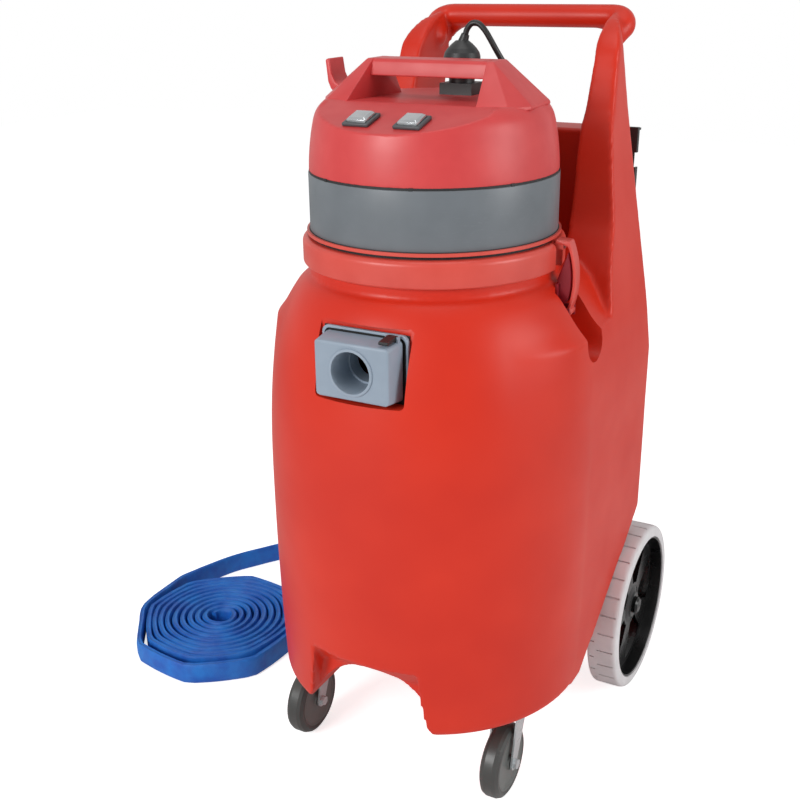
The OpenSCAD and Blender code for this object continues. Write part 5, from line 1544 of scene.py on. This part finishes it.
@dataclass
class Head:
    """The lift-off motor head: grey band, red cap with its grip and sloped panel, and cord hook."""

    band_z: float = 750.0
    cap_z: float = 822.0
    cap_top: float = 905.0
    radius: float = 156.0
    wall: float = 4.0
    top_radius: float = 133.0
    crease: float = -62.0
    panel_half: float = 112.0
    slope: float = 16.0
    grip_top: float = 951.0
    grip_half: float = 80.0
    grip_thick: float = 20.0
    grip_depth: float = 40.0
    screws: int = 4
    screw_ring: float = 137.0
    screw_boss: float = 7.0
    screw_bore: float = 2.05
    switch_x: Point2 = (-34.0, 32.0)
    switch_along: float = 57.0
    receptacle: Point2 = (8.0, 62.0)
    hook: Point2 = (6.0, 42.0)
    seam_tabs: int = 8
    seam_half: float = 1.3
    voxel: float = 1.9

    def on_panel(self, x: float, along: float) -> Matrix:
        """Return the map from a switch's own axes to its place on the sloped panel.

        Args:
            x: Place from the machine's middle.
            along: Distance down the panel from its upper edge.

        Returns:
            The transform.
        """
        return turned("X", self.slope, (x, self.crease, self.cap_top)) @ Matrix.Translation((0, -along, 0))

    def cap_profile(self, inset: float) -> list[Point2]:
        """Return the cap's half section, moved in by a wall.

        Args:
            inset: Thickness of the wall, or 0 for the outside.

        Returns:
            Radius and height of each point.
        """
        r, low, high, top = self.radius, self.cap_z, self.cap_top - self.cap_z, self.top_radius
        side = [(r - 1, low), (r - 1.5, low + high * 0.16), (r - 3, low + high * 0.36),
                (r - 6, low + high * 0.6), (top + 13, low + high * 0.8), (top + 7.5, self.cap_top - 7),
                (top, self.cap_top)]
        smooth = curve_through(side, 4)
        closed = [(x - inset, z - (inset if z > self.cap_top - 8 else 0)) for x, z in smooth]
        return [(0.0, low - (1 if inset else 0)), *closed, (0.0, self.cap_top - inset)]

    def panel_cut(self, drop: float) -> Piece:
        """Return the tool for the sloped switch panel.

        Args:
            drop: Distance that the tool lies below the panel's face.

        Returns:
            The tool, which takes away what is over it.
        """
        half = self.panel_half + drop
        return Workshop.block("panel_cut", (-half, -260, 0), (half, 0, 90),
                              turned("X", self.slope, (0, self.crease, self.cap_top - drop)))

    def grip(self) -> list[Piece]:
        """Return the carrying grip and its two end blocks."""
        low, top, depth = self.grip_top - self.grip_thick, self.grip_top, self.grip_depth
        outline = [(-18, low), (-15, top - 3), (-12, top), (depth - 16, top), (depth - 12, top - 4),
                   (depth - 11, low)]
        bar = Workshop.prism("grip", outline, -self.grip_half, self.grip_half, "X")
        Workshop.bevel(bar, 1.6, 3)
        foot = [(86, -65), (121, -54), (139, -26), (136, 40), (72, 52)]
        crown = [(self.grip_half - 4, -14), (self.grip_half + 4, -14), (self.grip_half + 4, depth - 14),
                 (self.grip_half - 4, depth - 14)]
        pieces = [bar]
        for side in Side:
            points = [(side.value * x, y, z) for z in (self.cap_top - 5, self.cap_top - 1) for x, y in foot]
            points += [(side.value * x, y, top) for x, y in crown]
            pieces.append(Workshop.bevel(Workshop.hull(f"grip_end_{side.word}", points), 1.6, 3, 12))
        return pieces

    def cap(self) -> None:
        """Make the cap with its grip and panel."""
        shell = Workshop.revolve("head_cap_shell", self.cap_profile(0), 160)
        Workshop.cut(shell, self.panel_cut(0))
        Workshop.soften(shell, self.voxel * (1.0), 2, 110000)
        Workshop.unite(shell, *self.grip())
        hollow = Workshop.revolve("cap_hollow", self.cap_profile(self.wall), 96)
        Workshop.cut(hollow, self.panel_cut(self.wall))
        skirt = Workshop.block("skirt", (-200, -200, self.cap_z - 5), (200, 200, self.cap_z + 1.2))
        Workshop.cut(shell, hollow, skirt)
        for x in self.switch_x:
            Workshop.cut(shell, Workshop.block("switch_way", (-13.2, -13.2, -14), (13.2, 13.2, 8),
                                               self.on_panel(x, self.switch_along)))
        Workshop.cut(shell, Workshop.rod("receptacle_way", 15.2, self.cap_top - 14, self.cap_top + 8,
                                         Matrix.Translation((*self.receptacle, 0))))
        Workshop.deliver(shell, Finishes.cap_red.build(), "machine", "cap_red", ("head_cap",), 42)

    def band(self, ring: Repeat) -> None:
        """Make the grey band with its screw bosses and the dark seams over and under it.

        Args:
            ring: Tree that sets the tabs round the upper seam.
        """
        r, low, high = self.radius, self.band_z, self.cap_z - 1.6
        outline = [(r - self.wall, low), *arc((r - 1.2, low + 1.2), 1.2, -90, 0, 3),
                   *arc((r - 1.2, high - 1.2), 1.2, 0, 90, 3), (r - self.wall, high)]
        band = Workshop.revolve("head_band_ring", outline, 224)
        for k in range(self.screws):
            place = turned("Z", 45 + 90 * k)
            middle = place @ Matrix.Translation((self.screw_ring, 0, 0))
            boss = Workshop.rod("boss", self.screw_boss, low, low + 22, middle, 32)
            rib = Workshop.block("rib", (self.screw_ring, -3.5, low), (r - 2, 3.5, low + 22), place)
            bore = Workshop.rod("bore", self.screw_bore, low - 1, low + 18, middle, 24)
            Workshop.unite(band, boss, rib)
            Workshop.cut(band, bore)
        Workshop.deliver(band, Finishes.band_grey.build(), "machine", "band_grey", ("head_band",))
        self.seam("head_seam", self.cap_z - 0.2, r - 0.9, ring)
        self.seam("foot_seam", low - 0.8, r + 1.2)

    def seam(self, name: str, middle: float, out: float, ring: Repeat | None = None) -> None:
        """Make one dark seam round the head.

        Args:
            name: Name of the piece.
            middle: Height of its middle.
            out: Its outer radius.
            ring: Tree that sets tabs round the seam, for a seam that has them.
        """
        low, high, inner = middle - self.seam_half, middle + self.seam_half, self.radius - 5
        seam = Workshop.revolve(name, [(inner, low), (out, low), (out, high), (inner, high)], 160)
        if ring is not None:
            ring.apply(seam, Count=self.seam_tabs, Radius=self.radius - 2.0, Size=(3.4, 5.0, 3.6),
                       Middle=(0.0, 0.0, middle), Phase=0.3, Finish=Finishes.seal_rubber.build())
        Workshop.deliver(seam, Finishes.seal_rubber.build(), "machine", "seal_rubber")

    def cord_hook(self) -> None:
        """Make the hook for the power cord with rounded edges."""
        seat = -(self.top_radius - 9)
        outline = [(seat - 6.6, 0.2), (seat - 20, 0.2), (seat - 27, 5), (seat - 31, 14), (seat - 34, 41),
                   (seat - 28, 43), (seat - 25, 24), (seat - 20, 14), (seat - 12, 9), (seat + 1.4, 8)]
        hook = Workshop.prism("cord_hook_arm", [(x, self.cap_top + z) for x, z in outline], *self.hook, "Y")
        Workshop.bevel(hook, 2.0, 4)
        Workshop.deliver(hook, Finishes.cap_red.build(), "machine", "cap_red", ("cord_hook",))

    def build(self, ring: Repeat) -> None:
        """Make the whole head.

        Args:
            ring: Tree that sets the tabs round the upper seam.
        """
        self.cap()
        self.band(ring)
        self.cord_hook()
        for name, x in zip(("vacuum", "pump"), self.switch_x):
            Switch(name, self.on_panel(x, self.switch_along)).build()


# ---------------------------------------- inlet and latches


@dataclass
class Inlet:
    """The hose inlet: its box with a bore, its flange and the clip's ears."""

    height: float = Tank.inlet_height
    face: float = 213.0
    depth: float = 33.0
    half: float = 49.0
    tall: float = 69.0
    draft: float = 3.0
    bore: float = 25.4
    wall: float = 4.0
    cuff: float = 39.0
    ledge: float = 2.5
    flange: float = 5.0
    bead: float = 3.0
    corner: float = 9.0
    seal: float = 2.0
    spigot: float = 10.0
    clip_x: float = 41.0
    clip_half: float = 6.0

    @property
    def back(self) -> float:
        """Return the plane between the box and its flange."""
        return self.depth - self.face

    def box(self) -> Piece:
        """Return the drafted box with soft edges."""
        back, z = self.back, self.height
        points = []
        for y, grow in ((back - self.depth, 0.0), (back + 0.01, self.draft)):
            for x in (-self.half - grow, self.half + grow):
                points += [(x, y, z - self.tall / 2 - grow), (x, y, z + self.tall / 2 + grow)]
        return Workshop.bevel(Workshop.hull("inlet_box_body", points), 4.5, 5)

    def plate(self) -> Piece:
        """Return the flange against the seal, with rounded corners and a channel in its back, whose floor is
        lined with a thin black sheet as painted shade.

        Returns:
            The flange, which is joined with the box.
        """
        back, z = self.back, self.height
        half, low, high, r = self.half + 9, z - self.tall / 2 - 14, z + self.tall / 2 + 8, self.corner
        corners = [((half - r, low + r), -90), ((half - r, high - r), 0), ((r - half, high - r), 90),
                   ((r - half, low + r), 180)]
        outline = [p for middle, start in corners for p in arc(middle, r, start, start + 90, 6)]
        plate = Workshop.bevel(Workshop.prism("plate", outline, back, back + self.flange, "Y"), 1.0, 2, 60)
        bead = self.bead
        inner = [(x * (half - bead) / half, z + (v - z) * (high - z - bead) / (high - z)) for x, v in outline]
        Workshop.cut(plate, Workshop.prism("channel", inner, back - 1, back + self.flange - 1.4, "Y"))
        # Painted shade: a thin black sheet on the channel floor darkens the recess between the box and the
        # bead.
        deep = back + self.flange
        floor = Workshop.prism("inlet_channel", inner, deep - 1.6, deep - 1.0, "Y")
        Workshop.cut(floor, Workshop.rod("way", self.bore + self.wall, -60, 60,
                                         turned("X", 90, (0, back, z)), 48))
        Workshop.deliver(floor, Finishes.seal_rubber.build(), "machine", "seal_rubber")
        return plate

    def build(self) -> None:
        """Make the inlet box and put it in the frame."""
        z, back = self.height, self.back
        mouth, tail = -(self.face + 2), back + self.flange + self.seal + Tank.wall + self.spigot
        lie = turned("X", -90, (0, 0, z))
        outer = self.bore + self.wall
        collar = Workshop.revolve("collar", [(0, mouth), *arc((outer - 1.6, mouth + 1.6), 1.6, -90, 0, 4),
                                             (outer, tail), (0, tail)], 96, lie)
        box = Workshop.unite(self.box(), self.plate(), collar)
        clip_y, clip_z = back - 6, z + self.tall / 2 + 5.5
        for s in (-1, 1):
            middle = self.clip_x + s * (self.clip_half + 1.3)
            Workshop.unite(box, Workshop.block("ear", (middle - 1, clip_y - 3, clip_z - 6),
                                               (middle + 1, clip_y + 3, clip_z + 3)))
        pin = Workshop.rod("pin", 1.5, self.clip_x - self.clip_half - 2, self.clip_x + self.clip_half + 2,
                           turned("Y", 90, (0, clip_y, clip_z)), 24)
        Workshop.unite(box, pin)
        stop, narrow = mouth + self.cuff, self.bore - self.ledge
        way = [(0, mouth - 1), (self.bore + 0.9, mouth - 1), (self.bore, mouth + 1), (self.bore, stop),
               (narrow, stop), (narrow, tail + 1), (0, tail + 1)]
        Workshop.cut(box, Workshop.revolve("way", way, 96, lie))
        Workshop.deliver(box, Finishes.inlet_grey.build(), "machine", "inlet_grey", ("inlet_box",))


@dataclass
class Latches:
    """The two bow latches that hold the head down, each in front of a dark bracket."""

    lip: float = 160.0
    rim_top: float = Tank.rim_top
    neck: float = Tank.neck_radius
    angle: float = Tank.latch_angle
    bow_radius: float = 120.0
    bow_thick: float = 4.0
    bow_width: float = 20.0
    foot_angle: float = -20.0
    tip_angle: float = 23.5
    bracket_width: float = 27.6
    pin_radius: float = 2.0

    def arm(self, offset: float, start: float, end: float, steps: int) -> list[Point2]:
        """Return points of the bow.

        Args:
            offset: Distance inside its outer face.
            start: Angle of the first point.
            end: Angle of the last point.
            steps: Number of steps between them.

        Returns:
            The points, seen from the machine's front.
        """
        middle = (self.lip + 30 - self.bow_radius, self.rim_top - 45)
        return arc(middle, self.bow_radius - offset, start, end, steps)

    def build(self) -> None:
        """Make both latches with their brackets."""
        pin = self.arm(self.bow_thick / 2, self.foot_angle, self.foot_angle, 1)[0]
        hook_z = self.rim_top - 2 + 0.3
        foot_z, plate_x = pin[1] - 8, self.neck + 9
        half, bow = self.bracket_width / 2, self.bow_width / 2
        for side in Side:
            place = side.matrix @ turned("Z", self.angle)
            outline = [*self.arm(0, self.foot_angle, self.tip_angle, 20), (self.lip + 3, hook_z + 6),
                       (self.lip + 1.5, hook_z + 1), (self.lip + 3, hook_z), (self.lip + 13, hook_z),
                       *self.arm(self.bow_thick, self.tip_angle - 3, self.foot_angle, 18)]
            lever = Workshop.prism(f"latch_bow_{side.word}", outline, -bow, bow, "Y", place)
            Workshop.bevel(lever, 1.3, 3, 50)
            lie = place @ turned("X", 90, (pin[0], 0, pin[1]))
            eye = Workshop.rod("eye", 5, -bow, bow, lie)
            Workshop.unite(lever, Workshop.bevel(eye, 1.0, 2, 60))
            Workshop.cut(lever, Workshop.rod("pin_bore", self.pin_radius + 0.05, -20, 20, lie, 24))
            Workshop.deliver(lever, Finishes.latch_red.build(), f"latch_{side.word}", "latch_red",
                             (f"latch_lever_{side.word}",))
            cheek = [(plate_x, foot_z + 14), (plate_x + 3, foot_z + 10),
                     *self.arm(self.bow_thick + 2.2, self.foot_angle + 7, self.tip_angle - 6, 10),
                     (plate_x, foot_z + 48)]
            bracket = Workshop.prism(f"latch_cheek_{side.word}", cheek, 2 - bow, bow - 2, "Y", place)
            Workshop.bevel(bracket, 1.6, 3, 35)
            Workshop.unite(bracket, Workshop.block("plate", (plate_x, -half, foot_z),
                                                   (plate_x + 3, half, foot_z + 44), place))
            for s in (-1, 1):
                low, high = sorted((s * half, s * (half - 2.4)))
                ear = Workshop.block("ear", (plate_x, low, foot_z), (pin[0] + 4, high, foot_z + 14), place)
                Workshop.unite(bracket, Workshop.bevel(ear, 1.0, 2))
            Workshop.unite(bracket, Workshop.rod("pin", self.pin_radius, -half, half, lie, 24))
            Workshop.deliver(bracket, Finishes.bracket_red.build(), "machine", "bracket_red",
                             (f"latch_bracket_{side.word}",))


# ---------------------------------------- wheels


@dataclass
class RearTyres:
    """The two grey tyres with a row of short slots inside and a row of long ones outside."""

    axle: Point2 = Tank.axle
    radius: float = 127.0
    inner: float = 110.05
    near: float = 191.6
    width: float = 44.0
    slots: int = 28
    slot_width: float = 2.6
    slot_deep: float = 2.2
    slot_rows: tuple[Point2, ...] = ((4.0, 7.0), (15.5, 24.0))

    def build(self, ring: Repeat) -> None:
        """Make both tyres.

        Args:
            ring: Tree that cuts a row of slots round a tyre.
        """
        far, r = self.near + self.width, self.radius
        shoulder = curve_through([(r, self.near + 8), (r, far - 12), (r - 0.6, far - 5), (r - 2.6, far - 1.4),
                                  (r - 6, far)], 4)
        outline = [(self.inner, self.near), *arc((r - 4.5, self.near + 4.5), 4.5, -90, 0, 5), *shoulder,
                   (self.inner, far)]
        for side in Side:
            lie = side.matrix @ turned("Y", 90, (0, *self.axle))
            tyre = Workshop.revolve(f"rear_tyre_{side.word}", outline, 160)
            for row, (start, long) in enumerate(self.slot_rows):
                ring.apply(tyre, Count=self.slots, Radius=r, Size=(2 * self.slot_deep, self.slot_width, long),
                           Middle=(0.0, 0.0, self.near + start + long / 2),
                           Phase=row * math.pi / self.slots, Cut=True, Finish=Finishes.tyre_grey.build())
            tyre.data.transform(lie)
            Workshop.face_outwards(tyre)
            Workshop.deliver(tyre, Finishes.tyre_grey.build(), f"wheel_{side.word}", "tyre_grey",
                             (f"wheel_tyre_{side.word}",))


# ---------------------------------------- light and camera


@dataclass
class Studio:
    """The white floor, the soft lamps and the camera."""

    eye: Point3 = (0.6384, -1.3401, 1.0533)
    heading: float = 28.66
    pitch: float = 20.92
    roll: float = -0.68
    lens: float = 50.84
    floor_half: float = 6.0
    ambient: float = 0.29
    glossy: float = 0.6
    floor_grey: float = 0.93
    floor_glow: float = 0.72

    def white(self, world: bpy.types.World) -> None:
        """Fill the background with white and light the object evenly from it.

        Args:
            world: World that is seen behind the object.
        """
        world.use_nodes = True
        graph = Graph(world.node_tree)
        graph.tree.nodes.clear()
        path = graph.node("ShaderNodeLightPath")
        seen = graph.math("MAXIMUM", path.outputs["Is Camera Ray"],
                          graph.math("MAXIMUM", path.outputs["Is Transmission Ray"],
                                     graph.math("MULTIPLY", path.outputs["Is Glossy Ray"], self.glossy)))
        glow = graph.node("ShaderNodeBackground", Color=(1.0, 1.0, 1.0, 1.0),
                          Strength=graph.span(seen, 0.0, 1.0, self.ambient, 1.0))
        out = graph.node("ShaderNodeOutputWorld")
        graph.tree.links.new(glow.outputs[0], out.inputs["Surface"])

    def floor(self) -> None:
        """Lay a white floor that the object stands on."""
        h = self.floor_half
        plane = Workshop.solid("floor", [(-h, -h, 0), (h, -h, 0), (h, h, 0), (-h, h, 0)], [(0, 1, 2, 3)])
        plane.data.materials.append(self.floor_white())

    def floor_white(self) -> Look:
        """Return the floor's white, which keeps the object's shadow."""
        material = bpy.data.materials.new("floor_white")
        material.use_nodes = True
        graph = Graph(material.node_tree)
        shader = next(n for n in graph.tree.nodes if n.type == "BSDF_PRINCIPLED")
        shader.inputs["Base Color"].default_value = (*[self.floor_grey] * 3, 1)
        shader.inputs["Roughness"].default_value = 0.9
        shader.inputs["Specular IOR Level"].default_value = 0.1
        path = graph.node("ShaderNodeLightPath")
        shader.inputs["Emission Color"].default_value = (1, 1, 1, 1)
        graph.tree.links.new(graph.math("MULTIPLY", path.outputs["Is Camera Ray"], self.floor_glow),
                             shader.inputs["Emission Strength"])
        return material

    def lamp(self, name: str, place: Point3, size: float, power: float, aim: Point3 = (0, 0, 0.5)) -> None:
        """Hang a square soft lamp.

        Args:
            name: Name of the lamp.
            place: Where it hangs.
            size: Length of its side.
            power: Power in watts.
            aim: Point that it lights.
        """
        data = bpy.data.lights.new(name, "AREA")
        data.shape, data.size, data.energy = "SQUARE", size, power
        lamp = Workshop.add(name, data)
        lamp.location = place
        lamp.rotation_euler = (Vector(aim) - Vector(place)).to_track_quat("-Z", "Y").to_euler()

    def camera(self) -> None:
        """Stand the camera where it sees the machine from its right front."""
        th, p, r = (math.radians(v) for v in (self.heading, self.pitch, self.roll))
        ahead = Vector((-math.sin(th) * math.cos(p), math.cos(th) * math.cos(p), -math.sin(p)))
        right = Vector((math.cos(th), math.sin(th), 0))
        up = right.cross(ahead)
        side = right * math.cos(r) + up * math.sin(r)
        top = up * math.cos(r) - right * math.sin(r)
        data = bpy.data.cameras.new("camera")
        data.lens, data.sensor_width = self.lens, 36.0
        camera = Workshop.add("camera", data)
        camera.matrix_world = Matrix((
            (side.x, top.x, -ahead.x, self.eye[0]), (side.y, top.y, -ahead.y, self.eye[1]),
            (side.z, top.z, -ahead.z, self.eye[2]), (0, 0, 0, 1)))
        bpy.context.scene.camera = camera

    def build(self) -> None:
        """Set the stage."""
        scene = bpy.context.scene
        scene.view_settings.view_transform = "Standard"
        scene.world = scene.world or bpy.data.worlds.new("world")
        self.white(scene.world)
        self.floor()
        self.lamp("key", (-0.9, -3.0, 1.7), 1.1, 60.0)
        self.lamp("side", (2.9, 0.0, 1.4), 1.4, 38.0)
        self.lamp("top", (0.1, -0.3, 3.4), 1.6, 15.0)
        self.camera()


# ---------------------------------------- the whole machine


def dress_frame() -> None:
    """Give every piece that stays as it is its finish."""
    dress(Finishes.rim_red.build(), "head_base")
    dress(Finishes.seal_rubber.build(), "rim_gasket", "inlet_gasket", "motor_gasket")
    dress(Finishes.black_plastic.build(), "inlet_clip", "inlet_deflector", "pump_receptacle", "pump_plug",
          "cord_gland", "strap_anchor", "strap_band", "strap_buckle", "strap_lever", "pump_body",
          "discharge_pipe", "discharge_nuts", "float_cage", "motor_can")
    dress(Finishes.cable_black.build(), "pump_cable")
    dress(Finishes.motor_metal.build(), "fan_housing", "motor_rotor", "pump_screen")
    dress(Finishes.foam.build(), "foam_filter")
    dress(Finishes.float_white.build(), "float_ball")
    dress(Finishes.brass.build(), "pump_impeller", "hose_coupling", "hose_tail")
    dress(Finishes.hub_black.build(), "wheel_hub_left", "wheel_hub_right", "axle_cap_left", "axle_cap_right")
    casters = [f"caster_{part}_{side.word}" for part in ("mount", "fork", "axle") for side in Side]
    dress(Finishes.steel.build(), "rear_axle", "head_screws", *casters)
    dress(Finishes.caster.build(), "caster_wheel_left", "caster_wheel_right")


def main() -> None:
    """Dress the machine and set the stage."""
    logging.basicConfig(level=logging.INFO, format="%(name)s: %(message)s")
    ring = ring_tree()
    Studio().build()
    PumpCord().build()
    DischargeHose().build()
    Tank().build()
    Head().build(ring)
    Inlet().build()
    Latches().build()
    RearTyres().build(ring)
    dress_frame()


if __name__ == "__main__":
    main()
